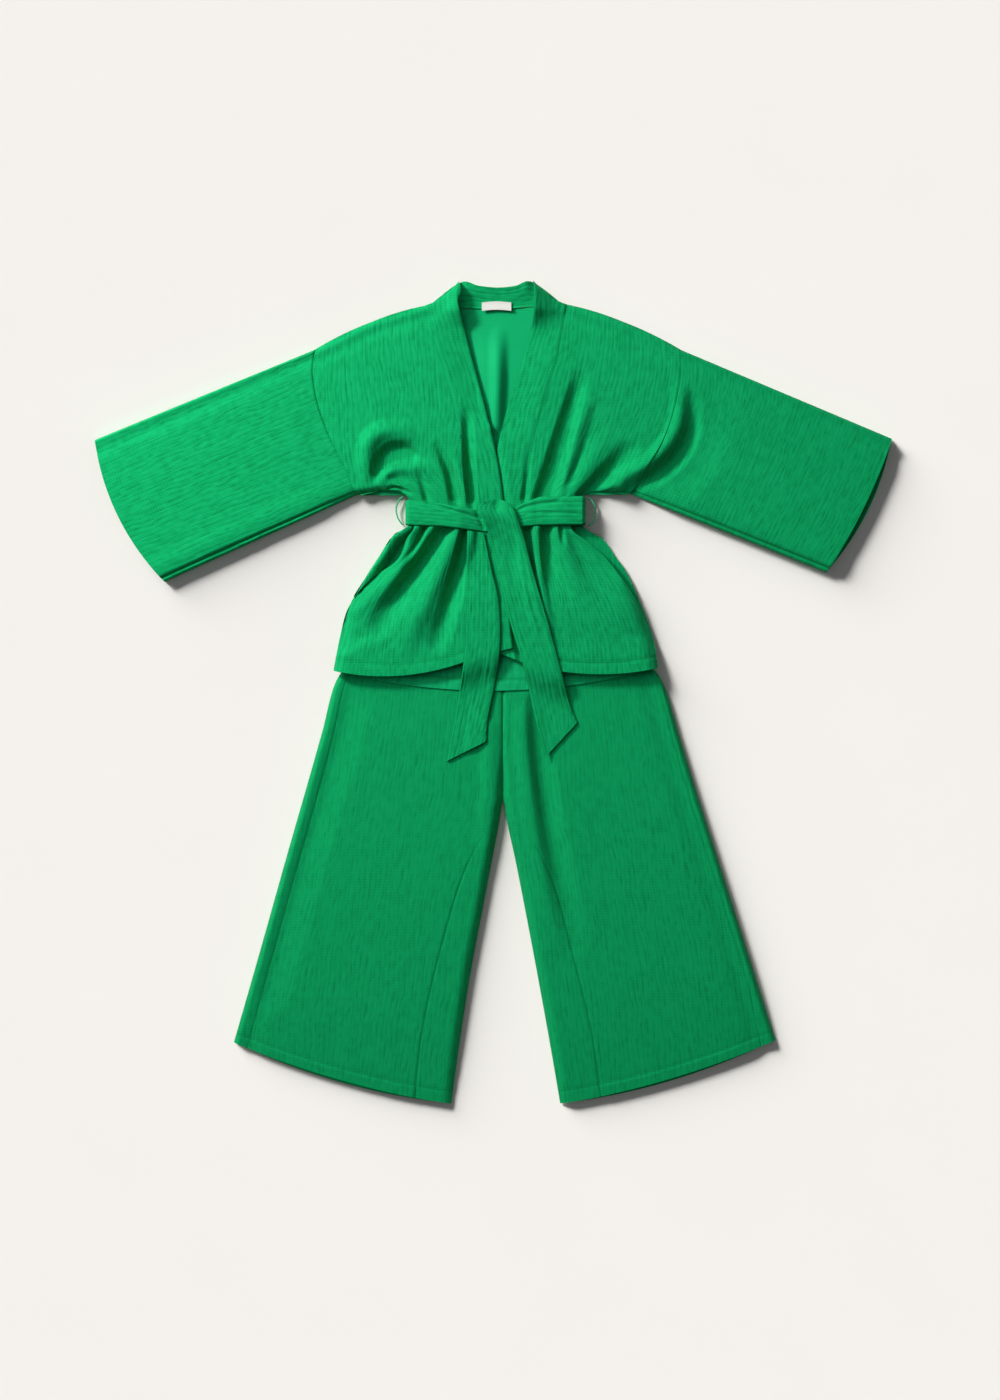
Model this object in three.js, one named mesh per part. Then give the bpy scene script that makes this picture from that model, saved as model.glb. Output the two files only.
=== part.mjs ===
// Kimono pyjama set laid out flat: a wrap jacket with wide sleeves, its tied belt, and wide trousers.
// Millimetres. Seen from above, X runs to the right and Y towards the neck. Z is up from the surface
// that the set lies on, and the origin is on that surface, at the middle of the set's outline.
// "Left" and "right" are those of the view from above.
import * as THREE from "three";

// The cloth and how its layers lie
const CLOTH = 1.8; // wall of crinkled double gauze
const BAND = 2.6; // neckband, which is folded double
const BELT = 3.2; // belt, a turned tube of the same cloth
const LABEL = 1; // woven neck label
const SEAM = 0.3; // between pieces sewn to each other
const LAYER = 0.7; // least air between one layer and the next
const EDGE = 3; // height of a tube's side edge where it turns over
const TURN = 23; // depth of the jacket's turned hem
const TURN_RISE = 0.9; // the turned hem's extra thickness
const LEG_TURN = 27; // depth of the trousers' turned hem

// Where the belt goes round the waist
const WAIST_Y = 322;
const BELT_HALF = 22; // half its height at the back
const BELT_LEFT_X = -158;
const BELT_RIGHT_X = 165;
const BELT_LIFT = 3; // how far the belt's back stretch lifts the jacket's back

// The trousers
const CENTRE_X = 17; // centre front and centre back seams
const WAISTBAND_TOP = 136;
const WAISTBAND_FOOT = 100;
const WAIST_LEFT_X = -163;
const WAIST_RIGHT_X = 197;
const CROTCH_ROW = 4; // the row of each leg's table where the legs part
const SLANT_SEAM = 0.35; // half the gap at the side seams above the crotch, which run aslant
const CROTCH_SEAM = 1.2; // half the gap where the inseams start
const CENTRE_CREASE = 4; // how far the seat dips at the centre seam
const HEM_SAG_FRONT = 13; // how far the middle of a leg's hem hangs below its ends, in front and behind
const HEM_SAG_BACK = 18;

// Cloth colours, and the label's
const GREEN = 0x12a566;
const WHITE = 0xf2f1ec;

// Fractions across a tube or down an armhole, closer where the cloth turns over at an edge
const ACROSS = [0, 0.02, 0.06, 0.12, 0.2, 0.3, 0.41, 0.52, 0.63, 0.73, 0.82, 0.9, 0.96, 1];
const LEG_ACROSS = [0, 0.03, 0.08, 0.17, 0.33, 0.5, 0.67, 0.83, 0.92, 0.97, 1];

// Each leg, from the waistband's seam to the hem: its outer and inner edges, its height, and how far
// the back panel comes over the top at each edge
const LEG_LEFT = [
  { outerX: -163, outerY: 100, innerX: 16.8, innerY: 100, height: 9, outWrap: 12, inWrap: 3 },
  { outerX: -238, outerY: 64, innerX: 16.8, innerY: 52, height: 11, outWrap: 14, inWrap: 3 },
  { outerX: -282, outerY: 22, innerX: 16.8, innerY: 0, height: 14, outWrap: 18, inWrap: 3 },
  { outerX: -309, outerY: -75, innerX: 16.8, innerY: -96, height: 16, outWrap: 22, inWrap: 3 },
  { outerX: -336, outerY: -170, innerX: 16, innerY: -194, height: 17, outWrap: 24, inWrap: 5 },
  { outerX: -375, outerY: -306, innerX: -8, innerY: -330, height: 18, outWrap: 25, inWrap: 46 },
  { outerX: -414, outerY: -445, innerX: -39, innerY: -492, height: 18, outWrap: 25, inWrap: 62 },
  { outerX: -442, outerY: -543, innerX: -60, innerY: -624, height: 17, outWrap: 25, inWrap: 70 },
  { outerX: -467, outerY: -630, innerX: -76, innerY: -740, height: 15, outWrap: 26, inWrap: 68 },
];
const LEG_RIGHT = [
  { outerX: 197, outerY: 100, innerX: 17.2, innerY: 100, height: 9, outWrap: 10, inWrap: 3 },
  { outerX: 258, outerY: 64, innerX: 17.2, innerY: 52, height: 11, outWrap: 10, inWrap: 3 },
  { outerX: 302, outerY: 22, innerX: 17.2, innerY: 0, height: 14, outWrap: 10, inWrap: 3 },
  { outerX: 333, outerY: -75, innerX: 17.2, innerY: -96, height: 16, outWrap: 13, inWrap: 3 },
  { outerX: 362, outerY: -170, innerX: 18, innerY: -194, height: 17, outWrap: 15, inWrap: 5 },
  { outerX: 404, outerY: -302, innerX: 45, innerY: -330, height: 18, outWrap: 16, inWrap: 56 },
  { outerX: 448, outerY: -440, innerX: 76, innerY: -492, height: 18, outWrap: 16, inWrap: 70 },
  { outerX: 479, outerY: -538, innerX: 100, innerY: -624, height: 17, outWrap: 18, inWrap: 78 },
  { outerX: 507, outerY: -626, innerX: 120, innerY: -740, height: 15, outWrap: 28, inWrap: 76 },
];

// The jacket's side edges, from the shoulder's end to the hem. On the front the side seam leaves the
// outline at the pocket: frontX and frontY are the front panel's edge, sideX and sideY the outline.
const SIDE_LEFT = [
  { sideX: -321, sideY: 616, frontX: -321, frontY: 616 },
  { sideX: -325, sideY: 574, frontX: -325, frontY: 574 },
  { sideX: -318, sideY: 526, frontX: -318, frontY: 526 },
  { sideX: -304, sideY: 482, frontX: -304, frontY: 482 },
  { sideX: -286, sideY: 440, frontX: -286, frontY: 440 },
  { sideX: -264, sideY: 397, frontX: -264, frontY: 397 },
  { sideX: -244, sideY: 355, frontX: -244, frontY: 355 },
  { sideX: -208, sideY: 362, frontX: -208, frontY: 362 },
  { sideX: -166, sideY: 358, frontX: -166, frontY: 358 },
  { sideX: -150, sideY: 340, frontX: -149, frontY: 340 },
  { sideX: -153, sideY: 300, frontX: -142, frontY: 297 },
  { sideX: -180, sideY: 281, frontX: -164, frontY: 278 },
  { sideX: -207, sideY: 241, frontX: -196, frontY: 241 },
  { sideX: -232, sideY: 202, frontX: -227, frontY: 202 },
  { sideX: -258, sideY: 157, frontX: -258, frontY: 157 },
  { sideX: -275, sideY: 103, frontX: -275, frontY: 103 },
  { sideX: -287, sideY: 38, frontX: -287, frontY: 38 },
];
const SIDE_RIGHT = [
  { sideX: 336, sideY: 616, frontX: 336, frontY: 616 },
  { sideX: 337, sideY: 574, frontX: 337, frontY: 574 },
  { sideX: 329, sideY: 530, frontX: 329, frontY: 530 },
  { sideX: 317, sideY: 486, frontX: 317, frontY: 486 },
  { sideX: 299, sideY: 443, frontX: 299, frontY: 443 },
  { sideX: 273, sideY: 401, frontX: 273, frontY: 401 },
  { sideX: 244, sideY: 357, frontX: 244, frontY: 357 },
  { sideX: 212, sideY: 360, frontX: 212, frontY: 360 },
  { sideX: 172, sideY: 359, frontX: 172, frontY: 359 },
  { sideX: 155, sideY: 342, frontX: 154, frontY: 341 },
  { sideX: 159, sideY: 300, frontX: 139, frontY: 296 },
  { sideX: 197, sideY: 274, frontX: 166, frontY: 271 },
  { sideX: 217, sideY: 246, frontX: 195, frontY: 246 },
  { sideX: 237, sideY: 218, frontX: 220, frontY: 218 },
  { sideX: 262, sideY: 164, frontX: 257, frontY: 164 },
  { sideX: 285, sideY: 103, frontX: 285, frontY: 103 },
  { sideX: 295, sideY: 43, frontX: 295, frontY: 43 },
];

// The neckband down each front, on the same rows: its seam to the front panel and its free edge.
// The left front lies over the right one, whose free edge is hidden below the crossing.
const BAND_LEFT = [
  { seamX: -123, seamY: 695, freeX: -61, freeY: 739 },
  { seamX: -115, seamY: 665, freeX: -64, freeY: 700 },
  { seamX: -104, seamY: 625, freeX: -53, freeY: 656 },
  { seamX: -90, seamY: 578, freeX: -37, freeY: 594 },
  { seamX: -76, seamY: 526, freeX: -20, freeY: 530 },
  { seamX: -60, seamY: 466, freeX: -3, freeY: 464 },
  { seamX: -48, seamY: 415, freeX: 8, freeY: 412 },
  { seamX: -43, seamY: 385, freeX: 13, freeY: 382 },
  { seamX: -40, seamY: 360, freeX: 16, freeY: 358 },
  { seamX: -38, seamY: 332, freeX: 18, freeY: 332 },
  { seamX: -37, seamY: 298, freeX: 18, freeY: 298 },
  { seamX: -36, seamY: 276, freeX: 19, freeY: 276 },
  { seamX: -35, seamY: 245, freeX: 21, freeY: 245 },
  { seamX: -32, seamY: 205, freeX: 24, freeY: 205 },
  { seamX: -29, seamY: 156, freeX: 28, freeY: 156 },
  { seamX: -24, seamY: 108, freeX: 32, freeY: 110 },
  { seamX: -19, seamY: 67, freeX: 35, freeY: 79 },
];
const BAND_RIGHT = [
  { seamX: 132, seamY: 697, freeX: 71, freeY: 740 },
  { seamX: 127, seamY: 665, freeX: 73, freeY: 697 },
  { seamX: 120, seamY: 627, freeX: 68, freeY: 652 },
  { seamX: 109, seamY: 580, freeX: 51, freeY: 590 },
  { seamX: 94, seamY: 530, freeX: 31, freeY: 530 },
  { seamX: 77, seamY: 474, freeX: 13, freeY: 466 },
  { seamX: 67, seamY: 424, freeX: 3, freeY: 414 },
  { seamX: 62, seamY: 392, freeX: -3, freeY: 384 },
  { seamX: 57, seamY: 362, freeX: -7, freeY: 358 },
  { seamX: 53, seamY: 330, freeX: -11, freeY: 330 },
  { seamX: 51, seamY: 298, freeX: -13, freeY: 298 },
  { seamX: 49, seamY: 266, freeX: -14, freeY: 266 },
  { seamX: 48, seamY: 234, freeX: -15, freeY: 234 },
  { seamX: 49, seamY: 200, freeX: -14, freeY: 200 },
  { seamX: 51, seamY: 157, freeX: -12, freeY: 157 },
  { seamX: 54, seamY: 104, freeX: -9, freeY: 110 },
  { seamX: 57, seamY: 51, freeX: -6, freeY: 76 },
];
const UNDERARM_ROW = 6; // the row of these tables at the underarm
const LAST_ROW = SIDE_LEFT.length - 1;
const HEM_BOW_LEFT = -22; // how far the middle of each hem hangs below its ends
const HEM_BOW_RIGHT = -15;
const HEM_BOW_BACK = -38;
const SHOULDER_BOW = 9; // how far the middle of a shoulder stands above its ends
const BAND_DIP = -8; // how far the neckband's fold at the shoulder dips between its edges

// The sleeves: their top and underarm edges at the cuff, the bow of the cuff's two layers, and height
const SLEEVE_HEIGHT = 20; // at the cuff
const SLEEVE_LEFT = { topX: -716, topY: 454, underX: -591, underY: 198, bowTop: 23, bowUnder: 21 };
const SLEEVE_RIGHT = { topX: 716, topY: 456, underX: 598, underY: 215, bowTop: 9, bowUnder: 19 };
const ARMHOLE_HEIGHT = 16.5;
const SLEEVE_ROWS = [0, 0.035, 0.07, 0.11, 0.16, 0.25, 0.4, 0.58, 0.78, 0.93, 1];

// The back neck: the neckband's upper and lower edges from left to right, and its rise at the top
const BAND_BACK = [
  { topX: -117, topY: 694, lowX: -112, lowY: 686 },
  { topX: -61, topY: 736, lowX: -66, lowY: 693 },
  { topX: -26, topY: 730, lowX: -28, lowY: 692 },
  { topX: 8, topY: 727, lowX: 8, lowY: 690 },
  { topX: 39, topY: 730, lowX: 42, lowY: 693 },
  { topX: 71, topY: 737, lowX: 75, lowY: 695 },
  { topX: 126, topY: 696, lowX: 121, lowY: 686 },
];
const SHOULDERS = [
  { x: -321, y: 616 },
  { x: -222, y: 663 },
  { x: -123, y: 694 },
  { x: -112, y: 684 },
  { x: -66, y: 691 },
  { x: 8, y: 688.5 },
  { x: 75, y: 692.5 },
  { x: 121, y: 684 },
  { x: 132, y: 696 },
  { x: 234, y: 664 },
  { x: 336, y: 616 },
];
const LABEL_BOX = { left: -21, right: 32, top: 703, foot: 682, lift: 4 };

// How far the fronts stand off the back, down the body
const PUFF = [
  { y: 740, puff: 6 },
  { y: 690, puff: 9 },
  { y: 600, puff: 12 },
  { y: 470, puff: 14 },
  { y: 400, puff: 16 },
  { y: 355, puff: 13 },
  { y: 322, puff: 12 },
  { y: 290, puff: 13 },
  { y: 240, puff: 16 },
  { y: 150, puff: 14 },
  { y: 60, puff: 9 },
];
const SIDE_REACH = 34; // how far in from the outline the cloth has risen to its full height
const COLLAR_STAND = 11; // how much higher the neckband's free edge stands beside the neck
const TUCK = 6.5; // how far the right front drops where the left front lies over it

// The folds of the fronts and sleeves, each a curve through three points. Reach is how far it spreads
// to either side and rise how high it stands, below zero for a trough, at its start, bend and end.
const FOLDS = [
  // drawn up from the belt on the left front
  fold([-50, 462], [-45, 400], [-37, 332], [6, 10], [-4, -12, -13]),
  fold([-97, 436], [-86, 385], [-70, 335], [8, 12], [-3, -11, -14]),
  fold([-72, 430], [-64, 385], [-54, 335], [9, 10], [2, 6, 8]),
  fold([-134, 392], [-126, 370], [-117, 340], [6, 8], [-1, -6, -9]),
  fold([-213, 392], [-208, 442], [-134, 436], [13, 12], [-12, -15, -3]),
  fold([-236, 398], [-222, 470], [-112, 462], [20, 24], [5, 9, 3]),
  fold([-198, 396], [-176, 412], [-140, 404], [8, 12], [3, 6, 2]),
  fold([-204, 384], [-180, 392], [-150, 378], [6, 7], [-4, -7, -4]),
  // drawn up from the belt on the right front
  fold([141, 562], [122, 480], [82, 348], [12, 13], [-3, -15, -20]),
  fold([158, 526], [134, 450], [101, 352], [14, 12], [2, 8, 9]),
  fold([240, 430], [200, 388], [160, 350], [18, 11], [-8, -16, -14]),
  fold([196, 456], [158, 396], [128, 350], [16, 12], [1, 6, 8]),
  fold([64, 440], [60, 392], [55, 345], [6, 7], [-1, -4, -7]),
  fold([336, 540], [312, 446], [222, 374], [14, 14], [4, 11, 8]),
  fold([356, 520], [338, 430], [250, 372], [13, 13], [-3, -16, -9]),
  // spreading down from the belt on the left front
  fold([-168, 270], [-194, 232], [-220, 194], [13, 10], [-12, -15, -4]),
  fold([-139, 294], [-152, 262], [-168, 230], [9, 8], [8, 8, 2]),
  fold([-124, 294], [-138, 264], [-160, 236], [6, 5], [-12, -9, -2]),
  fold([-108, 294], [-153, 232], [-236, 160], [10, 18], [9, 12, 3]),
  fold([-84, 294], [-124, 218], [-196, 124], [14, 22], [-16, -18, -4]),
  fold([-62, 290], [-104, 218], [-160, 88], [13, 20], [9, 12, 2]),
  fold([-47, 290], [-62, 196], [-96, 92], [12, 16], [-16, -18, -4]),
  // spreading down from the belt on the right front
  fold([60, 292], [68, 206], [88, 120], [9, 10], [-13, -12, -3]),
  fold([77, 294], [84, 206], [100, 120], [8, 9], [8, 8, 2]),
  fold([95, 294], [103, 222], [132, 96], [9, 16], [-15, -13, -3]),
  fold([117, 292], [136, 232], [164, 170], [13, 20], [7, 8, 2]),
  fold([121, 294], [123, 278], [126, 262], [5, 5], [-8, -7, -1]),
];
// The one fold of the back panel that shows inside the neck, and the soft ones of the trousers
const BACK_FOLDS = [fold([-2, 640], [-4, 530], [4, 440], [13, 14], [2, 10, 8])];
const LEG_FOLDS = [
  fold([64, -40], [74, -200], [96, -400], [22, 26], [-5, -8, -1]),
  fold([44, -60], [46, -180], [58, -330], [16, 20], [2, 4, 1]),
  fold([-8, -60], [-6, -150], [-14, -300], [14, 18], [3, 4, 1]),
  fold([-300, -20], [-360, -260], [-436, -540], [14, 14], [-2, -3, -2]),
];

// The belt's stretch across the front: its upper and lower edges from left to right
const BELT_FRONT = [
  { x: -153, topY: 345, lowY: 299 },
  { x: -91, topY: 337, lowY: 297 },
  { x: -24, topY: 325, lowY: 288 },
  { x: 10, topY: 323, lowY: 286 },
  { x: 36, topY: 329, lowY: 293 },
  { x: 56, topY: 340, lowY: 297 },
  { x: 84, topY: 350, lowY: 299 },
  { x: 160, topY: 351, lowY: 300 },
];
// The strip that wraps over the knot and hangs as the right tail, then the left tail, as edges down
// their length. The right one starts at the top of the belt and the left one beneath the belt.
const WRAP_BOW = 7; // the wrap's rounded top
const TAIL_RIGHT = [
  { leftX: -17, leftY: 338, rightX: 27, rightY: 338 },
  { leftX: -27, leftY: 330, rightX: 36, rightY: 328 },
  { leftX: -19, leftY: 309, rightX: 44, rightY: 309 },
  { leftX: -9, leftY: 282, rightX: 56, rightY: 272 },
  { leftX: 5, leftY: 226, rightX: 70, rightY: 219 },
  { leftX: 28, leftY: 130, rightX: 96, rightY: 132 },
  { leftX: 55, leftY: 40, rightX: 119, rightY: 46 },
  { leftX: 75, leftY: -50, rightX: 139, rightY: -26 },
  { leftX: 93, leftY: -117, rightX: 151, rightY: -54 },
];
const TAIL_LEFT = [
  { leftX: -47, leftY: 289, rightX: -16, rightY: 285 },
  { leftX: -48, leftY: 222, rightX: -3, rightY: 220 },
  { leftX: -49, leftY: 160, rightX: 10, rightY: 160 },
  { leftX: -51, leftY: 80, rightX: 12, rightY: 80 },
  { leftX: -60, leftY: 10, rightX: 2, rightY: 10 },
  { leftX: -73, leftY: -62, rightX: -10, rightY: -50 },
  { leftX: -84, leftY: -124, rightX: -12, rightY: -88 },
];
// The hems where the tails cross them
const HEM_BACK_Y = 2;
const HEM_LEFT = [{ x: -110, y: 36 }, { x: -69, y: 46 }, { x: -19, y: 66 }, { x: 36, y: 78 }];
const HEM_RIGHT = [{ x: -7, y: 75 }, { x: 57, y: 50 }, { x: 100, y: 38 }, { x: 180, y: 30 }];
const TAIL_AIR = 1.6; // between a tail and what it lies on
const TAIL_SPAN = 22; // how far around a tail bridges from crest to crest

// The thread loops that hold the belt at the side seams
const THREAD = 1.6; // across the chain of thread
const THREAD_LOOPS = {
  thread_loop_left: [[-162, 351], [-169, 346], [-175, 331], [-172, 313], [-163, 300]],
  thread_loop_right: [[168, 351], [177, 344], [183, 330], [180, 308], [169, 298]],
};

const { clamp, lerp, smoothstep } = THREE.MathUtils;

function catmullRom(f, a, b, c, d) {
  const before = (c - a) / 2;
  const after = (d - b) / 2;
  const cubic = 2 * b - 2 * c + before + after;
  const square = 3 * c - 3 * b - 2 * before - after;
  return cubic * f ** 3 + square * f ** 2 + before * f + b;
}

// A row at any place between those of a table, with each column running smoothly through the rows.
function rowAt(table, place) {
  const last = table.length - 1;
  const start = clamp(Math.floor(place), 0, last - 1);
  const rows = [start - 1, start, start + 1, start + 2].map((k) => table[clamp(k, 0, last)]);
  const row = {};
  for (const name of Object.keys(table[0])) {
    row[name] = catmullRom(place - start, ...rows.map((r) => r[name]));
  }
  return row;
}

// The value of one column where another has the value asked for, straight between the rows.
function lookUp(table, key, at, column) {
  const rising = table[0][key] < table.at(-1)[key];
  const rows = rising ? table : [...table].reverse();
  if (at <= rows[0][key]) return rows[0][column];
  for (let i = 1; i < rows.length; i += 1) {
    const [before, after] = [rows[i - 1], rows[i]];
    if (at <= after[key]) {
      return lerp(before[column], after[column], (at - before[key]) / (after[key] - before[key]));
    }
  }
  return rows.at(-1)[column];
}

// Evenly spaced places from one row of a table to another.
function places(from, to, count) {
  return Array.from({ length: count + 1 }, (_, i) => lerp(from, to, i / count));
}

// A fold: its line as short straight steps, with its reach and rise along it.
function fold(start, bend, end, [startReach, endReach], [startRise, bendRise, endRise]) {
  const steps = 8;
  const line = Array.from({ length: steps + 1 }, (_, i) => {
    const f = i / steps;
    const [a, b, c] = [(1 - f) * (1 - 2 * f), 4 * f * (1 - f), f * (2 * f - 1)];
    return {
      x: a * start[0] + b * bend[0] + c * end[0],
      y: a * start[1] + b * bend[1] + c * end[1],
      reach: startReach + (endReach - startReach) * f,
      rise: a * startRise + b * bendRise + c * endRise,
    };
  });
  return line;
}

// The nearest place on a line of points: its distance, and the step and fraction where it is.
function nearest(line, x, y) {
  let best = { distance: Infinity };
  for (let i = 0; i + 1 < line.length; i += 1) {
    const [p, q] = [line[i], line[i + 1]];
    const [dx, dy] = [q.x - p.x, q.y - p.y];
    const f = clamp(((x - p.x) * dx + (y - p.y) * dy) / (dx * dx + dy * dy), 0, 1);
    const distance = Math.hypot(x - p.x - f * dx, y - p.y - f * dy);
    if (distance < best.distance) best = { distance, from: p, to: q, f };
  }
  return best;
}

// The height that a set of folds adds at a point.
function foldsAt(folds, x, y) {
  let sum = 0;
  for (const line of folds) {
    const { distance, from, to, f } = nearest(line, x, y);
    const reach = lerp(from.reach, to.reach, f) * 1.5;
    if (distance < reach) sum += lerp(from.rise, to.rise, f) * (1 - (distance / reach) ** 2) ** 2;
  }
  return sum;
}

// How far cloth has risen, from 0 at an edge where it turns over to 1 at the reach.
function crown(distance, reach) {
  return 1 - (1 - clamp(distance / reach, 0, 1)) ** 2.3;
}

// The jacket's outline where its cloth turns over: shoulder to cuff, and cuff to hem, on each side.
const OUTLINES = [
  { band: BAND_LEFT, side: SIDE_LEFT, cuff: SLEEVE_LEFT },
  { band: BAND_RIGHT, side: SIDE_RIGHT, cuff: SLEEVE_RIGHT },
].flatMap(({ band, side, cuff }) => [
  [
    { x: band[0].freeX, y: band[0].freeY },
    { x: band[0].seamX, y: band[0].seamY },
    { x: (band[0].seamX + side[0].sideX) / 2, y: (band[0].seamY + side[0].sideY) / 2 + SHOULDER_BOW },
    { x: side[0].sideX, y: side[0].sideY },
    { x: cuff.topX, y: cuff.topY },
  ],
  [
    { x: cuff.underX, y: cuff.underY },
    ...side.slice(UNDERARM_ROW).map((row) => ({ x: row.sideX, y: row.sideY })),
  ],
]);

function outlineDistance(x, y) {
  return Math.min(...OUTLINES.map((line) => nearest(line, x, y).distance));
}

// The top of the trousers, from the table row whose edges the point lies between.
function trousersTop(x, y) {
  const legs = x < CENTRE_X ? LEG_LEFT : LEG_RIGHT;
  if (y > WAISTBAND_TOP) return 0;
  let best = 0;
  for (const place of places(0, legs.length - 1, 32)) {
    const row = rowAt(legs, place);
    const across = clamp((x - row.outerX) / (row.innerX - row.outerX), 0, 1);
    if (Math.abs(y - lerp(row.outerY, row.innerY, across)) < 16) best = Math.max(best, row.height);
  }
  return best || (y > 0 ? LEG_LEFT[0].height : 0);
}

// The jacket's back: its underside lifts over the belt's back stretch and over the trousers.
function backUnder(x, y) {
  const overTrousers = 1 - smoothstep(y, 128, 240);
  const outerX = lookUp(x < CENTRE_X ? LEG_LEFT : LEG_RIGHT, "outerY", y, "outerX");
  const beyond = x < CENTRE_X ? outerX - x : x - outerX;
  const trousers = lerp(10, 14.6, 1 - smoothstep(y, 20, 110)) + LAYER;
  const overBelt = BELT_LIFT * (1 - smoothstep(Math.abs(y - WAIST_Y), BELT_HALF + 4, BELT_HALF + 50));
  const draped = trousers * (1 - 0.75 * smoothstep(beyond, 22, 90));
  return overTrousers * draped + overBelt + foldsAt(BACK_FOLDS, x, y);
}

function backTop(x, y) {
  return backUnder(x, y) + thickness(backUnder, x, y, CLOTH);
}

// A wall's upright thickness at a point, which grows with its slope.
function thickness(under, x, y, wall) {
  const step = 2;
  const dx = (under(x + step, y) - under(x - step, y)) / (2 * step);
  const dy = (under(x, y + step) - under(x, y - step)) / (2 * step);
  return wall * Math.min(Math.hypot(1, dx, dy), 1.6);
}

// The fronts' common underside: off the back by the puff, down to it at the outline, with the folds.
function frontUnder(x, y) {
  const rise = crown(outlineDistance(x, y), SIDE_REACH);
  const pinch = lerp(0.25, 1, smoothstep(Math.abs(y - WAIST_Y), BELT_HALF - 5, BELT_HALF + 18));
  const puff = lookUp(PUFF, "y", y, "puff");
  const beltPull = crown(outlineDistance(x, y), SIDE_REACH / 2);
  const stand = puff * rise + foldsAt(FOLDS, x, y) * pinch * beltPull;
  return backTop(x, y) + LAYER + softFloor(stand);
}

// A height that never goes below zero and gets there smoothly.
function softFloor(height) {
  const soft = 3;
  return height > soft ? height : (soft * Math.exp(height / soft - 1) * 0.9) + 0.1 * Math.max(height, 0);
}

// The neckband stands up beside the neck, and at its shoulder end clears the band behind the neck.
function collarStand(x, y, band) {
  const beside = smoothstep(y, 650, 690);
  const freeX = lookUp(band, "freeY", y, "freeX");
  const seamX = lookUp(band, "seamY", y, "seamX");
  const across = clamp((x - seamX) / (freeX - seamX), 0, 1);
  const overBand = 1.6 * smoothstep(y, 674, 686) * smoothstep(across, 0, 0.05);
  return COLLAR_STAND * beside * across ** 1.5 * crown(outlineDistance(x, y), 22) + overBand;
}

function leftUnder(x, y) {
  return frontUnder(x, y) + collarStand(x, y, BAND_LEFT);
}

// The right front drops where the left front's free edge lies over it.
function rightUnder(x, y) {
  const freeX = lookUp(BAND_LEFT, "freeY", y, "freeX");
  const tucked = (1 - smoothstep(x, freeX - 2, freeX + 16)) * (1 - smoothstep(y, 450, 520));
  return frontUnder(x, y) + collarStand(x, y, BAND_RIGHT) - TUCK * tucked;
}

// What a tail lies on: the fronts and their bands, the back below their hems, then the trousers.
function supportAt(x, y, overBelt) {
  const left = x < lookUp(BAND_LEFT, "freeY", y, "freeX") + 2;
  const hemY = left ? lookUp(HEM_LEFT, "x", x, "y") : lookUp(HEM_RIGHT, "x", x, "y");
  if (y < HEM_BACK_Y) return trousersTop(x, y) + foldsAt(LEG_FOLDS, x, y);
  if (y < hemY) return backTop(x, y);
  const under = left ? leftUnder : rightUnder;
  const onBelt = overBelt && y < beltEdge(x, "topY") && y > beltEdge(x, "lowY");
  return onBelt ? beltUnder(x) + BELT : under(x, y) + thickness(under, x, y, BAND) + TURN_RISE;
}

function beltEdge(x, column) {
  return lookUp(BELT_FRONT, "x", x, column);
}

// The belt's underside: clear of the highest cloth beneath each part of its width.
const beltHeights = new Map();
function beltUnder(x) {
  const key = Math.round(x);
  if (!beltHeights.has(key)) {
    let highest = 0;
    for (const dx of [-8, -4, 0, 4, 8]) {
      for (const y of [285, 292, 300, 310, 322, 334, 342, 350]) {
        const inside = clamp(key + dx, BELT_FRONT[0].x + 1, BELT_FRONT.at(-1).x - 1);
        if (y > beltEdge(inside, "lowY") - 4 && y < beltEdge(inside, "topY") + 4) {
          highest = Math.max(highest, frontUnder(inside, y) + thickness(frontUnder, inside, y, BAND));
        }
      }
    }
    beltHeights.set(key, highest + LAYER + 0.5);
  }
  return beltHeights.get(key);
}

// The underside of a tail: it bridges from crest to crest of what is beneath it.
function tailUnder(x, y, overBelt) {
  let highest = supportAt(x, y, overBelt);
  for (let i = 0; i < 16; i += 1) {
    const angle = (i * Math.PI) / 4;
    const span = TAIL_SPAN * (i < 8 ? 0.5 : 1);
    const around = supportAt(x + span * Math.cos(angle), y + span * Math.sin(angle), overBelt);
    highest = Math.max(highest, around - (i < 8 ? 0 : 0.6));
  }
  return highest + TAIL_AIR;
}

// A closed wall of cloth between two grids of points, the outer face and the inner one. A tube's
// grid closes on itself across its columns.
function wall(outer, inner, tube = false) {
  const [rows, columns] = [outer.length, outer[0].length];
  const points = [...outer.flat(), ...inner.flat()];
  const innerStart = rows * columns;
  const faces = [];
  const quad = (a, b, c, d) => faces.push(a, b, c, a, c, d);
  const at = (row, column) => row * columns + (column % columns);
  const across = tube ? columns : columns - 1;
  for (let r = 0; r + 1 < rows; r += 1) {
    for (let c = 0; c < across; c += 1) {
      const [p, q, s, t] = [at(r, c), at(r, c + 1), at(r + 1, c + 1), at(r + 1, c)];
      quad(p, q, s, t);
      quad(p + innerStart, t + innerStart, s + innerStart, q + innerStart);
    }
  }
  const rim = (a, b) => quad(b, a, a + innerStart, b + innerStart);
  for (let c = 0; c < across; c += 1) {
    rim(at(0, c), at(0, c + 1));
    rim(at(rows - 1, c + 1), at(rows - 1, c));
  }
  for (let r = 0; r + 1 < rows && !tube; r += 1) {
    rim(at(r + 1, 0), at(r, 0));
    rim(at(r, columns - 1), at(r + 1, columns - 1));
  }
  const geometry = new THREE.BufferGeometry().setFromPoints(points);
  geometry.setIndex(volumeOf(points, faces) < 0 ? faces.reverse() : faces);
  geometry.computeVertexNormals();
  return geometry;
}

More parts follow.
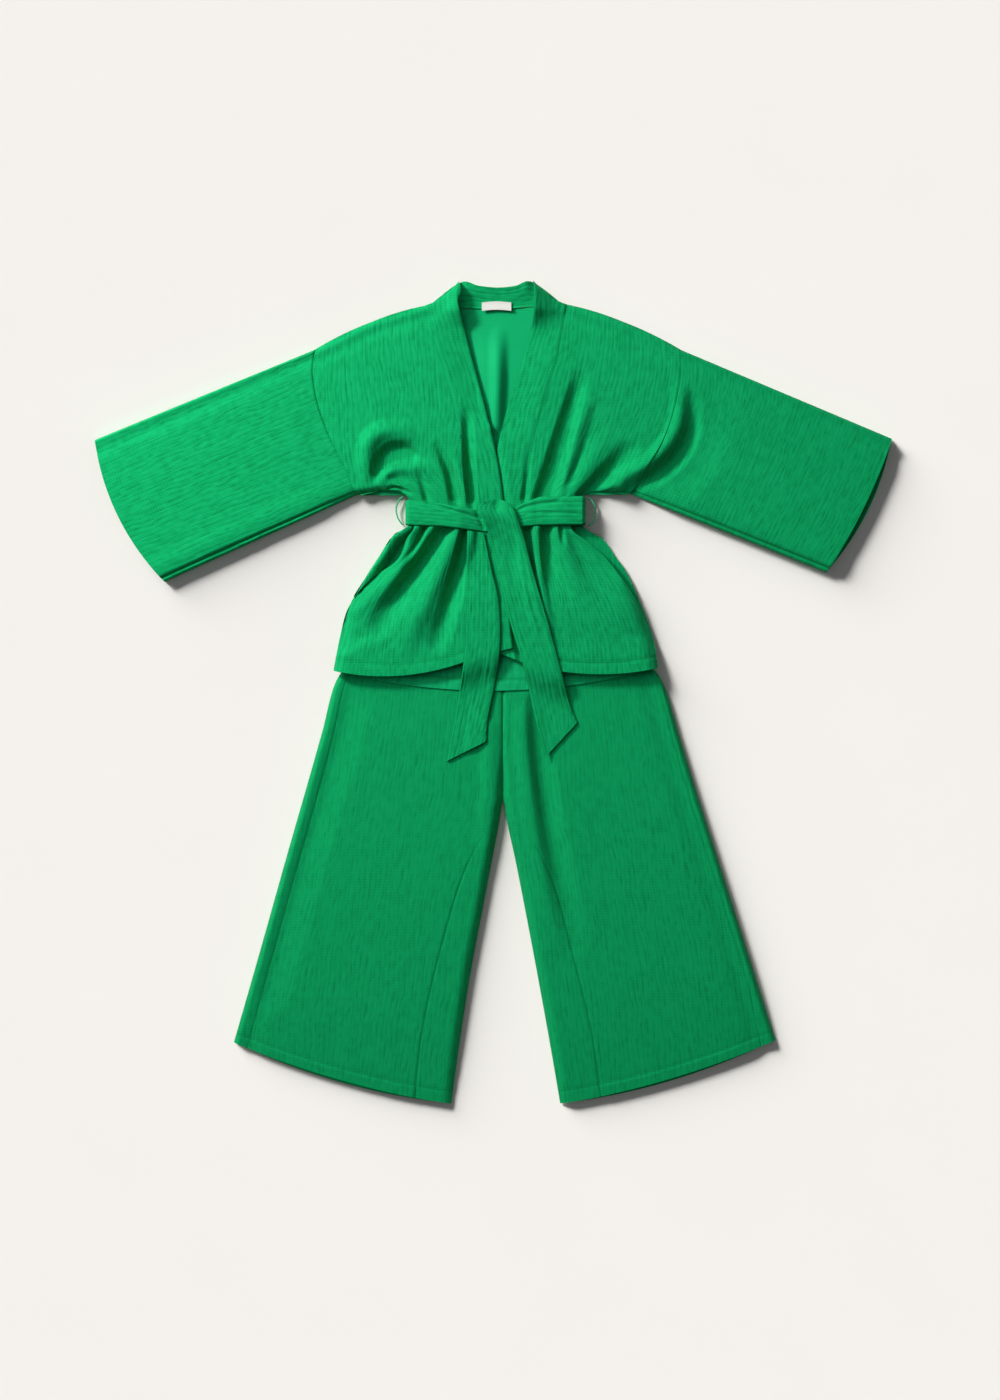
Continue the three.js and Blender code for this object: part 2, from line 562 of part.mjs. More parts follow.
function volumeOf(points, faces) {
  let volume = 0;
  for (let i = 0; i < faces.length; i += 3) {
    const [a, b, c] = [points[faces[i]], points[faces[i + 1]], points[faces[i + 2]]];
    volume += a.dot(b.clone().cross(c)) / 6;
  }
  return volume;
}

const set = new THREE.Group();

function addPiece(name, geometry, color = GREEN) {
  const material = new THREE.MeshStandardMaterial({ color, roughness: 0.9, metalness: 0 });
  const mesh = new THREE.Mesh(geometry, material);
  mesh.name = name;
  set.add(mesh);
}

// A single layer that lies over others: a plan of points, its underside's height and its thickness.
function addLayer(name, plan, under, clothWall, color) {
  const lower = plan.map((row) => row.map(({ x, y }) => new THREE.Vector3(x, y, under(x, y))));
  const upper = plan.map((row) => row.map(({ x, y, extra = 0 }) => (
    new THREE.Vector3(x, y, under(x, y) + thickness(under, x, y, clothWall) + extra))));
  addPiece(name, wall(upper, lower), color);
}

// Rows of plan points between two edges, with the first and last rows bowed and the hem thicker.
function planBetween(rowPlaces, steps, edges, topBow, hemBow, hemRise) {
  const last = rowPlaces.at(-1);
  return rowPlaces.map((place) => steps.map((f) => {
    const [a, b] = edges(place);
    const nearHem = smoothstep(place, LAST_ROW - 6, LAST_ROW);
    const bow = hemBow * 4 * f * (1 - f) * nearHem;
    const shoulder = topBow * 4 * f * (1 - f) * (1 - smoothstep(place, 0, 1.5));
    const turned = hemRise && place > last - TURN_PLACES - 0.01;
    return { x: lerp(a[0], b[0], f), y: lerp(a[1], b[1], f) + bow + shoulder, extra: turned ? hemRise : 0 };
  }));
}
const TURN_PLACES = TURN / 58; // the turned hem, as a share of the tables' last step

// Rows down the body: close together where the armhole and the belt are, and two at the hem's stitches
const BODY_PLACES = [
  ...ACROSS.map((f) => f * UNDERARM_ROW),
  ...places(UNDERARM_ROW, 13, 15).slice(1),
  ...places(13, LAST_ROW - TURN_PLACES - 0.05, 5).slice(1),
  ...places(LAST_ROW - TURN_PLACES, LAST_ROW, 1),
];

function addFront(name, side, band, inward, under, hemBow) {
  const steps = [0, 0.03, 0.08, 0.15, 0.22, 0.29, 0.36, 0.43, 0.5, 0.57, 0.64, 0.71, 0.78, 0.85, 0.92, 1];
  const edges = (place) => {
    const [s, b] = [rowAt(side, place), rowAt(band, place)];
    return [[s.frontX, s.frontY], [b.seamX - inward * SEAM / 2, b.seamY]];
  };
  addLayer(name, planBetween(BODY_PLACES, steps, edges, SHOULDER_BOW, hemBow, TURN_RISE), under, CLOTH);
}

function addBandFront(name, band, inward, under) {
  const edges = (place) => {
    const b = rowAt(band, place);
    return [[b.seamX + inward * SEAM / 2, b.seamY], [b.freeX, b.freeY]];
  };
  const plan = planBetween(BODY_PLACES, [0, 0.3, 0.65, 1], edges, BAND_DIP, 0, 0);
  addLayer(name, plan, under, BAND);
}

// The back panel: straight rows from side to side, except that the first ones follow the shoulders
// and the back neck, and the last ones the hem.
function addBack() {
  const leftSteps = [0, 0.02, 0.07, 0.16, 0.302, 0.32, 0.388, 0.44, 0.475];
  const steps = [...leftSteps, 0.501, 0.53, 0.603, 0.673, 0.69, 0.84, 0.93, 0.98, 1];
  const shoulder = (f) => lookUp(SHOULDERS, "x", lerp(-321, 336, f), "y");
  const plan = BODY_PLACES.map((place) => {
    const [left, right] = [rowAt(SIDE_LEFT, place), rowAt(SIDE_RIGHT, place)];
    return steps.map((f) => {
      const chord = lerp(left.sideY, right.sideY, f);
      const raised = (shoulder(f) - 616) * (1 - smoothstep(place, 0, UNDERARM_ROW));
      const bow = HEM_BOW_BACK * 4 * f * (1 - f) * smoothstep(place, LAST_ROW - 6, LAST_ROW);
      return { x: lerp(left.sideX, right.sideX, f), y: chord + raised + bow };
    });
  });
  addLayer("jacket_back", plan, backUnder, CLOTH);
}

// The strip of the back panel that comes forward to the pocket's mouth, between the front's edge
// and the outline.
function addPocketStrip(name, side, outward, from, to) {
  const plan = places(from, to, 8).map((place) => {
    const row = rowAt(side, place);
    return [0, 0.35, 0.7, 1].map((f) => ({
      x: lerp(row.frontX + outward * 1.2, row.sideX + outward * 0.4, f),
      y: lerp(row.frontY, row.sideY, f),
    }));
  });
  const under = (x, y) => {
    const stand = lookUp(PUFF, "y", y, "puff") * crown(outlineDistance(x, y), SIDE_REACH);
    return backTop(x, y) + LAYER + 0.6 * softFloor(stand);
  };
  addLayer(name, plan, under, CLOTH);
}

// A sleeve: a flattened tube from the armhole to the cuff, open at both ends.
function addSleeve(name, side, cuff, outward) {
  const armhole = ACROSS.map((f) => rowAt(side, f * UNDERARM_ROW));
  const [head, foot] = [armhole[0], armhole.at(-1)];
  const rings = SLEEVE_ROWS.map((s) => {
    const top = { x: lerp(head.sideX, cuff.topX, s), y: lerp(head.sideY, cuff.topY, s) };
    const low = { x: lerp(foot.sideX, cuff.underX, s), y: lerp(foot.sideY, cuff.underY, s) };
    const width = Math.hypot(top.x - low.x, top.y - low.y);
    const away = { x: (outward * (top.y - low.y)) / width, y: (-outward * (top.x - low.x)) / width };
    const pointAt = (i, f, bow) => {
      const armBowX = armhole[i].sideX - lerp(head.sideX, foot.sideX, f);
      const armBowY = armhole[i].sideY - lerp(head.sideY, foot.sideY, f);
      const cuffBow = bow * 4 * f * (1 - f) * s ** 3;
      return {
        x: lerp(top.x, low.x, f) + armBowX * (1 - s) ** 2 + away.x * cuffBow + outward * 1.4 * SEAM,
        y: lerp(top.y, low.y, f) + armBowY * (1 - s) ** 2 + away.y * cuffBow,
      };
    };
    const height = lerp(ARMHOLE_HEIGHT, SLEEVE_HEIGHT, smoothstep(s, 0, 1));
    const stations = ACROSS.map((f, i) => (
      { f, upper: pointAt(i, f, cuff.bowTop), lower: pointAt(i, f, cuff.bowUnder) }));
    return flatRing(stations, width, height, FOLDS);
  });
  addPiece(name, wall(rings.map((r) => r.outer), rings.map((r) => r.inner), true));
}

// One ring of a flattened tube that lies on the surface: the upper layer from edge to edge, then the
// lower layer back, each with the wall's inner point beside it.
function flatRing(stations, width, height, folds) {
  const inset = CLOTH / width;
  const topAt = (f, p) => {
    const distance = Math.min(f, 1 - f) * width;
    const folded = foldsAt(folds, p.x, p.y) * crown(distance, SIDE_REACH / 2);
    return EDGE + (height - EDGE) * crown(distance, SIDE_REACH) + folded;
  };
  const point = (p, z) => new THREE.Vector3(p.x, p.y, z);
  const drawnIn = (key, f) => {
    const to = clamp(f, inset, 1 - inset);
    const next = stations.find((s) => s.f >= to && s.f > 0) ?? stations.at(-1);
    const before = stations[stations.indexOf(next) - 1] ?? stations[0];
    const share = next.f === before.f ? 0 : (to - before.f) / (next.f - before.f);
    return { x: lerp(before[key].x, next[key].x, share), y: lerp(before[key].y, next[key].y, share) };
  };
  const upper = stations.map(({ f, upper: p }) => {
    const top = topAt(f, p);
    const ahead = Math.min(f + 0.01, 1);
    const behind = Math.max(f - 0.01, 0);
    const slope = (topAt(ahead, p) - topAt(behind, p)) / ((ahead - behind) * width);
    const edge = f === 0 || f === 1;
    const innerTop = edge ? EDGE : Math.max(top - CLOTH * Math.min(Math.hypot(1, slope), 1.6), CLOTH + 0.4);
    return { outer: point(p, top), inner: point(drawnIn("upper", f), innerTop) };
  });
  const lower = stations.slice(1, -1).reverse().map(({ f, lower: p }) => (
    { outer: point(p, 0), inner: point(drawnIn("lower", f), CLOTH) }));
  const ring = [...upper, ...lower];
  return { outer: ring.map((p) => p.outer), inner: ring.map((p) => p.inner) };
}

// A leg with its half of the seat: the front panel on top, from the side seam to the inseam, and the
// back panel beneath, which comes round the edges to meet it. Above the crotch both end at the
// centre seams instead, the front panel on top and the back panel beneath.
function addLeg(side, table) {
  const lastPlace = table.length - 1;
  const turnPlaces = LEG_TURN / 112;
  const rowPlaces = [
    ...places(0, CROTCH_ROW, 7),
    ...places(CROTCH_ROW + 0.1, lastPlace - turnPlaces - 0.04, 8),
    lastPlace - turnPlaces,
    lastPlace,
  ];
  const front = { outer: [], inner: [] };
  const back = { outer: [], inner: [] };
  for (const place of rowPlaces) {
    const row = rowAt(table, place);
    const seat = place <= CROTCH_ROW;
    const [least, most] = side === "left" ? [-Infinity, CENTRE_X - 0.2] : [CENTRE_X + 0.2, Infinity];
    const innerX = clamp(row.innerX, least, most);
    const width = Math.hypot(innerX - row.outerX, row.innerY - row.outerY);
    const nearCrotch = smoothstep(place, CROTCH_ROW - 1, CROTCH_ROW);
    const crease = lerp(CENTRE_CREASE, row.height - EDGE - CLOTH - 1, nearCrotch);
    const planAt = (f, sag) => {
      const bow = sag * 4 * f * (1 - f) * smoothstep(place, lastPlace - 2, lastPlace);
      return { x: lerp(row.outerX, innerX, f), y: lerp(row.outerY, row.innerY, f) - bow };
    };
    const topAt = (f) => {
      const p = planAt(f, 0);
      const outerRise = crown(f * width, SIDE_REACH);
      const innerRise = crown((1 - f) * width, SIDE_REACH);
      const drop = seat ? crease * (1 - innerRise) : (row.height - EDGE) * (1 - innerRise);
      const folded = foldsAt(LEG_FOLDS, p.x, p.y) * outerRise * innerRise;
      return EDGE + (row.height - EDGE) * outerRise - drop + folded;
    };
    const upper = (f, extra = 0) => {
      const [ahead, behind] = [Math.min(f + 0.01, 1), Math.max(f - 0.01, 0)];
      const slope = (topAt(ahead) - topAt(behind)) / ((ahead - behind) * width);
      const inset = clamp(f, CLOTH / width, seat ? 1 : 1 - CLOTH / width);
      const edge = f === 0 || (f === 1 && !seat);
      const upright = CLOTH * Math.min(Math.hypot(1, slope), 1.6);
      const innerZ = edge ? EDGE : Math.max(topAt(f) - upright, CLOTH + 0.5);
      const [p, q] = [planAt(f, HEM_SAG_FRONT), planAt(inset, HEM_SAG_FRONT)];
      return [new THREE.Vector3(p.x, p.y, topAt(f) + extra), new THREE.Vector3(q.x, q.y, innerZ)];
    };
    const lower = (f) => {
      const p = planAt(f, HEM_SAG_BACK);
      return [new THREE.Vector3(p.x, p.y, 0), new THREE.Vector3(p.x, p.y, CLOTH)];
    };
    const sideSeam = row.outWrap / width;
    const inseam = seat ? 1 : 1 - row.inWrap / width;
    const gap = (seat ? SLANT_SEAM : place < CROTCH_ROW + 0.5 ? CROTCH_SEAM : SEAM / 2) / width;
    const turned = place > lastPlace - turnPlaces - 0.01 ? TURN_RISE : 0;
    const frontRow = LEG_ACROSS.map((f) => upper(lerp(sideSeam + gap, seat ? 1 : inseam - gap, f), turned));
    const aroundInner = seat
      ? [0.94, 0.96, 0.98, 1].map((f) => lower(f))
      : [upper(1), ...[0.4, 0.75, 1].map((f) => upper(1 - (1 - inseam - gap) * f))];
    const backRow = [
      ...[1, 0.75, 0.4].map((f) => upper((sideSeam - gap) * f)),
      upper(0),
      ...LEG_ACROSS.slice(1, -2).map((f) => lower(f)),
      ...aroundInner,
    ];
    for (const [panel, points] of [[front, frontRow], [back, backRow]]) {
      panel.outer.push(points.map((pair) => pair[0]));
      panel.inner.push(points.map((pair) => pair[1]));
    }
  }
  addPiece("trousers_front_" + side, wall(front.outer, front.inner));
  addPiece("trousers_back_" + side, wall(back.outer, back.inner));
}

function addWaistband() {
  const width = WAIST_RIGHT_X - WAIST_LEFT_X;
  const rings = [WAISTBAND_TOP, 118, WAISTBAND_FOOT + SEAM].map((y) => {
    const stations = ACROSS.map((f) => {
      const p = { x: lerp(WAIST_LEFT_X, WAIST_RIGHT_X, f), y };
      return { f, upper: p, lower: p };
    });
    return flatRing(stations, width, LEG_LEFT[0].height, []);
  });
  addPiece("trousers_waistband", wall(rings.map((r) => r.outer), rings.map((r) => r.inner), true));
}

// The neckband behind the neck leans up between the fronts and lies flat beneath their bands.
function bandBackUnder(x, y) {
  const between = smoothstep(x, -66, -46) * (1 - smoothstep(x, 56, 76));
  return 0.2 + 7 * smoothstep(y, 694, 734) * between;
}

function addNeck() {
  const plan = places(0, BAND_BACK.length - 1, 12).map((place) => {
    const row = rowAt(BAND_BACK, place);
    return [0, 0.25, 0.5, 0.75, 1].map((f) => (
      { x: lerp(row.lowX, row.topX, f), y: lerp(row.lowY, row.topY, f) }));
  });
  addLayer("neckband_back", plan, bandBackUnder, BAND);
  const { left, right, top, foot, lift } = LABEL_BOX;
  const curve = (x) => 2 * Math.cos(((x - left) / (right - left) - 0.5) * Math.PI);
  const labelPlan = places(top, foot, 3).map((y) => (
    places(left, right, 6).map((x) => ({ x, y: y + curve(x) }))));
  const labelUnder = (x, y) => 4.6 + lift * (1 - smoothstep(y, foot, top));
  addLayer("neck_label", labelPlan, labelUnder, LABEL, WHITE);
}

// The belt round the waist: over the fronts, round both sides, and back beneath the jacket.
function addBeltWaist() {
  const frontX = places(BELT_FRONT[0].x, BELT_FRONT.at(-1).x, 26);
  const backX = places(BELT_FRONT.at(-1).x, BELT_FRONT[0].x, 6);
  const outer = [];
  const inner = [];
  for (const f of [0, 0.1, 0.5, 0.9, 1]) {
    const backY = lerp(WAIST_Y - BELT_HALF, WAIST_Y + BELT_HALF, f);
    const bulge = 1.2 * (1 - (2 * f - 1) ** 2);
    const outerRow = [];
    const innerRow = [];
    const push = (x, y, z, innerXAt, innerZ) => {
      outerRow.push(new THREE.Vector3(x, y, z));
      innerRow.push(new THREE.Vector3(innerXAt, y, innerZ));
    };
    for (const x of frontX) {
      const y = lerp(beltEdge(x, "lowY"), beltEdge(x, "topY"), f);
      push(x, y, beltUnder(x) + BELT + bulge, x, beltUnder(x));
    }
    const endZ = beltUnder(BELT_FRONT.at(-1).x);
    push(BELT_RIGHT_X, lerp(304, 347, f), endZ * 0.75, BELT_RIGHT_X - BELT * 0.8, endZ * 0.75);
    push(BELT_RIGHT_X, backY, 1.6, BELT_RIGHT_X - BELT * 0.8, 2.4);
    for (const x of backX) push(x, backY, 0, x, 2.4);
    const startZ = beltUnder(BELT_FRONT[0].x);
    push(BELT_LEFT_X, backY, 1.6, BELT_LEFT_X + BELT * 0.8, 2.4);
    push(BELT_LEFT_X, lerp(303, 341, f), startZ * 0.75, BELT_LEFT_X + BELT * 0.8, startZ * 0.75);
    outer.push(outerRow);
    inner.push(innerRow);
  }
  addPiece("belt_waist", wall(outer, inner, true));
}

function addTail(name, table, rowCount, overBelt, bow) {
  const plan = places(0, table.length - 1, rowCount).map((place) => {
    const row = rowAt(table, place);
    return [0, 0.1, 0.5, 0.9, 1].map((f) => ({
      x: lerp(row.leftX, row.rightX, f),
      y: lerp(row.leftY, row.rightY, f) + bow * 4 * f * (1 - f) * Math.max(0, 1 - place),
    }));
  });
  addLayer(name, plan, (x, y) => tailUnder(x, y, overBelt), BELT);
}

function addThreadLoops() {
  const section = new THREE.Shape().absarc(0, 0, THREAD / 2, 0, 2 * Math.PI);
  for (const [name, points] of Object.entries(THREAD_LOOPS)) {
    const ends = [0, points.length - 1];
    const bent = points.map(([x, y], i) => new THREE.Vector3(x, y, ends.includes(i) ? 5 : 7));
    const extrudePath = new THREE.CatmullRomCurve3(bent);
    const options = { extrudePath, steps: 10, curveSegments: 3, bevelEnabled: false };
    addPiece(name, new THREE.ExtrudeGeometry(section, options));
  }
}

addLeg("left", LEG_LEFT);
addLeg("right", LEG_RIGHT);
addWaistband();
addBack();
addFront("jacket_front_right", SIDE_RIGHT, BAND_RIGHT, -1, rightUnder, HEM_BOW_RIGHT);
addFront("jacket_front_left", SIDE_LEFT, BAND_LEFT, 1, leftUnder, HEM_BOW_LEFT);
addBandFront("neckband_right", BAND_RIGHT, -1, rightUnder);
addBandFront("neckband_left", BAND_LEFT, 1, leftUnder);
addNeck();
addPocketStrip("pocket_edge_left", SIDE_LEFT, -1, 10.05, 13.2);
addPocketStrip("pocket_edge_right", SIDE_RIGHT, 1, 10.05, 13.9);
addSleeve("sleeve_left", SIDE_LEFT, SLEEVE_LEFT, -1);
addSleeve("sleeve_right", SIDE_RIGHT, SLEEVE_RIGHT, 1);
addBeltWaist();
addTail("belt_tail_right", TAIL_RIGHT, 26, true, WRAP_BOW);
addTail("belt_tail_left", TAIL_LEFT, 20, false, 0);
addThreadLoops();

export default set;
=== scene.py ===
# Kimono pyjama set laid flat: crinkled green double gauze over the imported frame.
# Metres. Seen from above, +X is to the right and +Y towards the neck, and Z is up from the floor.
# "Left" and "right" are those of the view from above.
import math

import bpy
import numpy as np
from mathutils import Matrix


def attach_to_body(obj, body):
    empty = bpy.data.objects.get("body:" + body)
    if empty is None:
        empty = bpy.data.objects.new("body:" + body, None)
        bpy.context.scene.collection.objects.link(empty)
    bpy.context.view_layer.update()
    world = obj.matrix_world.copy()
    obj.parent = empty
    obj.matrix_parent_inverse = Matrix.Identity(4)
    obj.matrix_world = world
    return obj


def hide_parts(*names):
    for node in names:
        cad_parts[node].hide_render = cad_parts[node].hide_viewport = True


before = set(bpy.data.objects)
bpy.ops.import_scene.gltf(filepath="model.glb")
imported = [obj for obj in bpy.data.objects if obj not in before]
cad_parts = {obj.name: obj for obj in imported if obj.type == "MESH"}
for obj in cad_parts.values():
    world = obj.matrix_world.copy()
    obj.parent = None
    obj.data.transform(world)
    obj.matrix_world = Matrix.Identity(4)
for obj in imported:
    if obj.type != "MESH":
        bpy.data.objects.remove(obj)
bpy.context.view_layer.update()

# The thickness of the cloth, how its layers lie, its turned hems and its seams
CLOTH = 0.0018
BAND = 0.0026
BELT = 0.0032
LABEL = 0.001
LAYER = 0.0007
EDGE = 0.003
TURN = 0.023
LEG_TURN = 0.027
TURN_RISE = 0.0009
STITCH_FRONT = 0.0008
STITCH_BACK = 0.0006
STITCH_LEG = 0.0007
SEAM_DEPTH = 0.0009
SEAM_WIDTH = 0.0019

# From one row of points to the next
FRONT_STEP = 0.0042
BACK_STEP = 0.005
TAIL_STEP = 0.0034

# The crinkle: ribs that wander, with narrow grooves between them
RIB = 0.0078
RIB_HEIGHT = 0.00095
RIB_FAINT = 0.00044
GRID = 0.0048

# Factors: how much a slope thickens a wall, the crinkle's level on plain cloth and on the underside,
# how far a stitch line presses it down (in height, and in colour as painted shade), how much the belt's
# ribs wander, and how much the fronts sink beside the neck opening
STEEPEST = 1.6
PLAIN = 0.6
UNDERSIDE = 0.55
PRESSED_AND_SHADED = 0.8
BELT_WAVER = 0.35
V_SETTLE = 0.35

# Places counted in rows of the tables below, with the usual length of a row in metres
LEG_ROWS = 8
CROTCH_ROW = 4
LEG_ROW = 0.112
LAST_ROW = 16
UNDERARM_ROW = 6
SIDE_ROW = 0.058
TURN_PLACES = TURN / SIDE_ROW
STITCH_WIDTH = 0.035
STITCH_WIDTH_LEG = 0.022
POCKET_TOP = 10
POCKET_FOOT_LEFT = 13.7
POCKET_FOOT_RIGHT = 13.9

# Where the belt goes round the waist
WAIST_Y = 0.322
BELT_HALF = 0.022
BELT_LEFT_X = -0.158
BELT_RIGHT_X = 0.165
BELT_LIFT = 0.003

# The trousers
CENTRE_X = 0.017
WAISTBAND_TOP = 0.136
WAISTBAND_FOOT = 0.1
WAIST_LEFT_X = -0.163
WAIST_RIGHT_X = 0.197
CENTRE_CREASE = 0.004
HEM_SAG_FRONT = 0.013
HEM_SAG_BACK = 0.018
LEG_REACH = 0.020
CREASE_REACH = 0.008
LEG_DIP = 0.0024
LEG_DIP_IN = 0.030
LEG_DIP_WIDTH = 0.015

# The jacket: bows of its edges, and how far in from an edge ("reach") its cloth has risen to full height
HEM_BOW_LEFT = -0.022
HEM_BOW_RIGHT = -0.015
HEM_BOW_BACK = -0.038
SHOULDER_BOW = 0.009
BAND_DIP = -0.008
BAND_WIDTH = 0.056
SLEEVE_LENGTH = 0.43
SLEEVE_HEIGHT = 0.020
ARMHOLE_HEIGHT = 0.0165
SIDE_REACH = 0.026
SLEEVE_REACH = 0.006
SHOULDER_STEEP = 0.016
TOP_DIP = 0.0030
TOP_DIP_IN = 0.021
TOP_DIP_WIDTH = 0.012
LOW_RISE = 0.0022
LOW_RISE_IN = 0.030
LOW_RISE_WIDTH = 0.014
UNDERARM_SEAM_IN = 0.0085
UNDERARM_STEEP = 0.014
UNDERARM_Y = 0.372
UNDERARM_SPAN = 0.040
COLLAR_STAND = 0.022
ROLL_RISE = 0.018
POCKET_LIP = 0.004
TUCK = 0.0065

# The belt and its tails
BELT_CUT = 0.048
BELT_WIDTH = 0.046
BELT_ROUND = 0.004
BELT_STITCH_IN = 0.0045
WRAP_BOW = 0.007
TAIL_AIR = 0.0016
TAIL_SPAN = 0.030
WRAP_RISE = 0.006
WRAP_DIMPLE = 0.0048
BELT_RIB = 0.0016
HEM_BACK_Y = 0.002
THREAD = 0.0030


def table(columns, *rows):
    """A table as one array for each named column."""
    return {name: np.array([row[i] for row in rows]) for i, name in enumerate(columns.split())}


def side_table(*rows):
    """The outline and the front's edge. A row of two numbers has both in the same place."""
    return table("side_x side_y front_x front_y", *(row * 2 if len(row) == 2 else row for row in rows))


# Each leg from the waistband's seam to the hem: its edges, its height, and how far the back panel
# comes over the top at each edge
LEG_COLUMNS = "outer_x outer_y inner_x inner_y height out_wrap in_wrap"
LEG_LEFT = table(
    LEG_COLUMNS,
    (-0.163, 0.100, 0.0168, 0.100, 0.009, 0.012, 0.003),
    (-0.238, 0.064, 0.0168, 0.052, 0.011, 0.014, 0.003),
    (-0.282, 0.022, 0.0168, 0.000, 0.014, 0.018, 0.003),
    (-0.309, -0.075, 0.0168, -0.096, 0.016, 0.022, 0.003),
    (-0.336, -0.170, 0.016, -0.194, 0.017, 0.024, 0.005),
    (-0.375, -0.306, -0.008, -0.330, 0.018, 0.025, 0.046),
    (-0.414, -0.445, -0.039, -0.492, 0.018, 0.025, 0.062),
    (-0.442, -0.543, -0.060, -0.624, 0.017, 0.025, 0.070),
    (-0.467, -0.630, -0.076, -0.740, 0.012, 0.026, 0.068),
)
LEG_RIGHT = table(
    LEG_COLUMNS,
    (0.197, 0.100, 0.0172, 0.100, 0.009, 0.010, 0.003),
    (0.258, 0.064, 0.0172, 0.052, 0.011, 0.010, 0.003),
    (0.302, 0.022, 0.0172, 0.000, 0.014, 0.010, 0.003),
    (0.333, -0.075, 0.0172, -0.096, 0.016, 0.013, 0.003),
    (0.362, -0.170, 0.018, -0.194, 0.017, 0.015, 0.005),
    (0.404, -0.302, 0.045, -0.330, 0.018, 0.016, 0.056),
    (0.448, -0.440, 0.076, -0.492, 0.018, 0.016, 0.070),
    (0.479, -0.538, 0.100, -0.624, 0.017, 0.018, 0.078),
    (0.507, -0.626, 0.120, -0.740, 0.012, 0.028, 0.076),
)

# The jacket's sides from the shoulder's end to the hem: the outline and the front panel's edge
SIDE_LEFT = side_table(
    (-0.321, 0.616),
    (-0.325, 0.574),
    (-0.318, 0.526),
    (-0.304, 0.482),
    (-0.286, 0.440),
    (-0.264, 0.397),
    (-0.244, 0.355),
    (-0.208, 0.362),
    (-0.166, 0.358),
    (-0.150, 0.340, -0.149, 0.340),
    (-0.153, 0.300, -0.142, 0.297),
    (-0.180, 0.281, -0.156, 0.274),
    (-0.207, 0.241, -0.172, 0.237),
    (-0.232, 0.202, -0.216, 0.205),
    (-0.258, 0.157),
    (-0.275, 0.103),
    (-0.287, 0.038),
)
SIDE_RIGHT = side_table(
    (0.336, 0.616),
    (0.337, 0.574),
    (0.329, 0.530),
    (0.317, 0.486),
    (0.299, 0.443),
    (0.273, 0.401),
    (0.244, 0.357),
    (0.212, 0.360),
    (0.172, 0.359),
    (0.155, 0.342, 0.154, 0.341),
    (0.159, 0.300, 0.139, 0.296),
    (0.197, 0.274, 0.166, 0.271),
    (0.217, 0.246, 0.195, 0.246),
    (0.237, 0.218, 0.220, 0.218),
    (0.262, 0.164, 0.257, 0.164),
    (0.285, 0.103),
    (0.295, 0.043),
)

# The neckband down each front, on the same rows: its seam and its free edge
BAND_COLUMNS = "seam_x seam_y free_x free_y"
BAND_LEFT = table(
    BAND_COLUMNS,
    (-0.123, 0.695, -0.061, 0.739),
    (-0.115, 0.665, -0.064, 0.700),
    (-0.104, 0.625, -0.053, 0.656),
    (-0.090, 0.578, -0.037, 0.594),
    (-0.076, 0.526, -0.020, 0.530),
    (-0.060, 0.466, -0.003, 0.464),
    (-0.048, 0.415, 0.008, 0.412),
    (-0.043, 0.385, 0.013, 0.382),
    (-0.040, 0.360, 0.016, 0.358),
    (-0.038, 0.332, 0.018, 0.332),
    (-0.037, 0.298, 0.018, 0.298),
    (-0.036, 0.276, 0.019, 0.276),
    (-0.035, 0.245, 0.021, 0.245),
    (-0.032, 0.205, 0.024, 0.205),
    (-0.029, 0.156, 0.028, 0.156),
    (-0.024, 0.108, 0.032, 0.110),
    (-0.019, 0.067, 0.035, 0.079),
)
BAND_RIGHT = table(
    BAND_COLUMNS,
    (0.132, 0.697, 0.071, 0.740),
    (0.127, 0.665, 0.073, 0.697),
    (0.120, 0.627, 0.068, 0.652),
    (0.109, 0.580, 0.051, 0.590),
    (0.094, 0.530, 0.031, 0.530),
    (0.077, 0.474, 0.013, 0.466),
    (0.067, 0.424, 0.003, 0.414),
    (0.062, 0.392, -0.003, 0.384),
    (0.057, 0.362, -0.007, 0.358),
    (0.053, 0.330, -0.011, 0.330),
    (0.051, 0.298, -0.013, 0.298),
    (0.049, 0.266, -0.014, 0.266),
    (0.048, 0.234, -0.015, 0.234),
    (0.049, 0.200, -0.014, 0.200),
    (0.051, 0.157, -0.012, 0.157),
    (0.054, 0.104, -0.009, 0.110),
    (0.057, 0.051, -0.006, 0.076),
)

# Each sleeve's cuff: its top and underarm corners and the bow of its two layers
SLEEVE_LEFT = {"top": (-0.716, 0.454), "under": (-0.591, 0.198), "bow_top": 0.023, "bow_under": 0.021}
SLEEVE_RIGHT = {"top": (0.716, 0.456), "under": (0.598, 0.215), "bow_top": 0.009, "bow_under": 0.019}

# The neckband behind the neck, from left to right, and the line of the shoulders
BAND_BACK = table(
    "top_x top_y low_x low_y",
    (-0.117, 0.694, -0.112, 0.686),
    (-0.061, 0.736, -0.066, 0.693),
    (-0.026, 0.730, -0.028, 0.692),
    (0.008, 0.727, 0.008, 0.690),
    (0.039, 0.730, 0.042, 0.693),
    (0.071, 0.737, 0.075, 0.695),
    (0.126, 0.696, 0.121, 0.686),
)
SHOULDERS = table(
    "x y",
    (-0.321, 0.616), (-0.222, 0.663), (-0.123, 0.694), (-0.112, 0.684), (-0.066, 0.691), (0.008, 0.6885),
    (0.075, 0.6925), (0.121, 0.684), (0.132, 0.696), (0.234, 0.664), (0.336, 0.616),
)
LABEL_BOX = {"left": -0.021, "right": 0.032, "top": 0.7005, "foot": 0.685, "lift": 0.004}

# How far the fronts stand off the back, down the body
PUFF = table(
    "y puff",
    (0.740, 0.006), (0.690, 0.009), (0.600, 0.012), (0.470, 0.014), (0.400, 0.016), (0.355, 0.013),
    (0.322, 0.012), (0.290, 0.013), (0.240, 0.016), (0.150, 0.017), (0.060, 0.015),
)

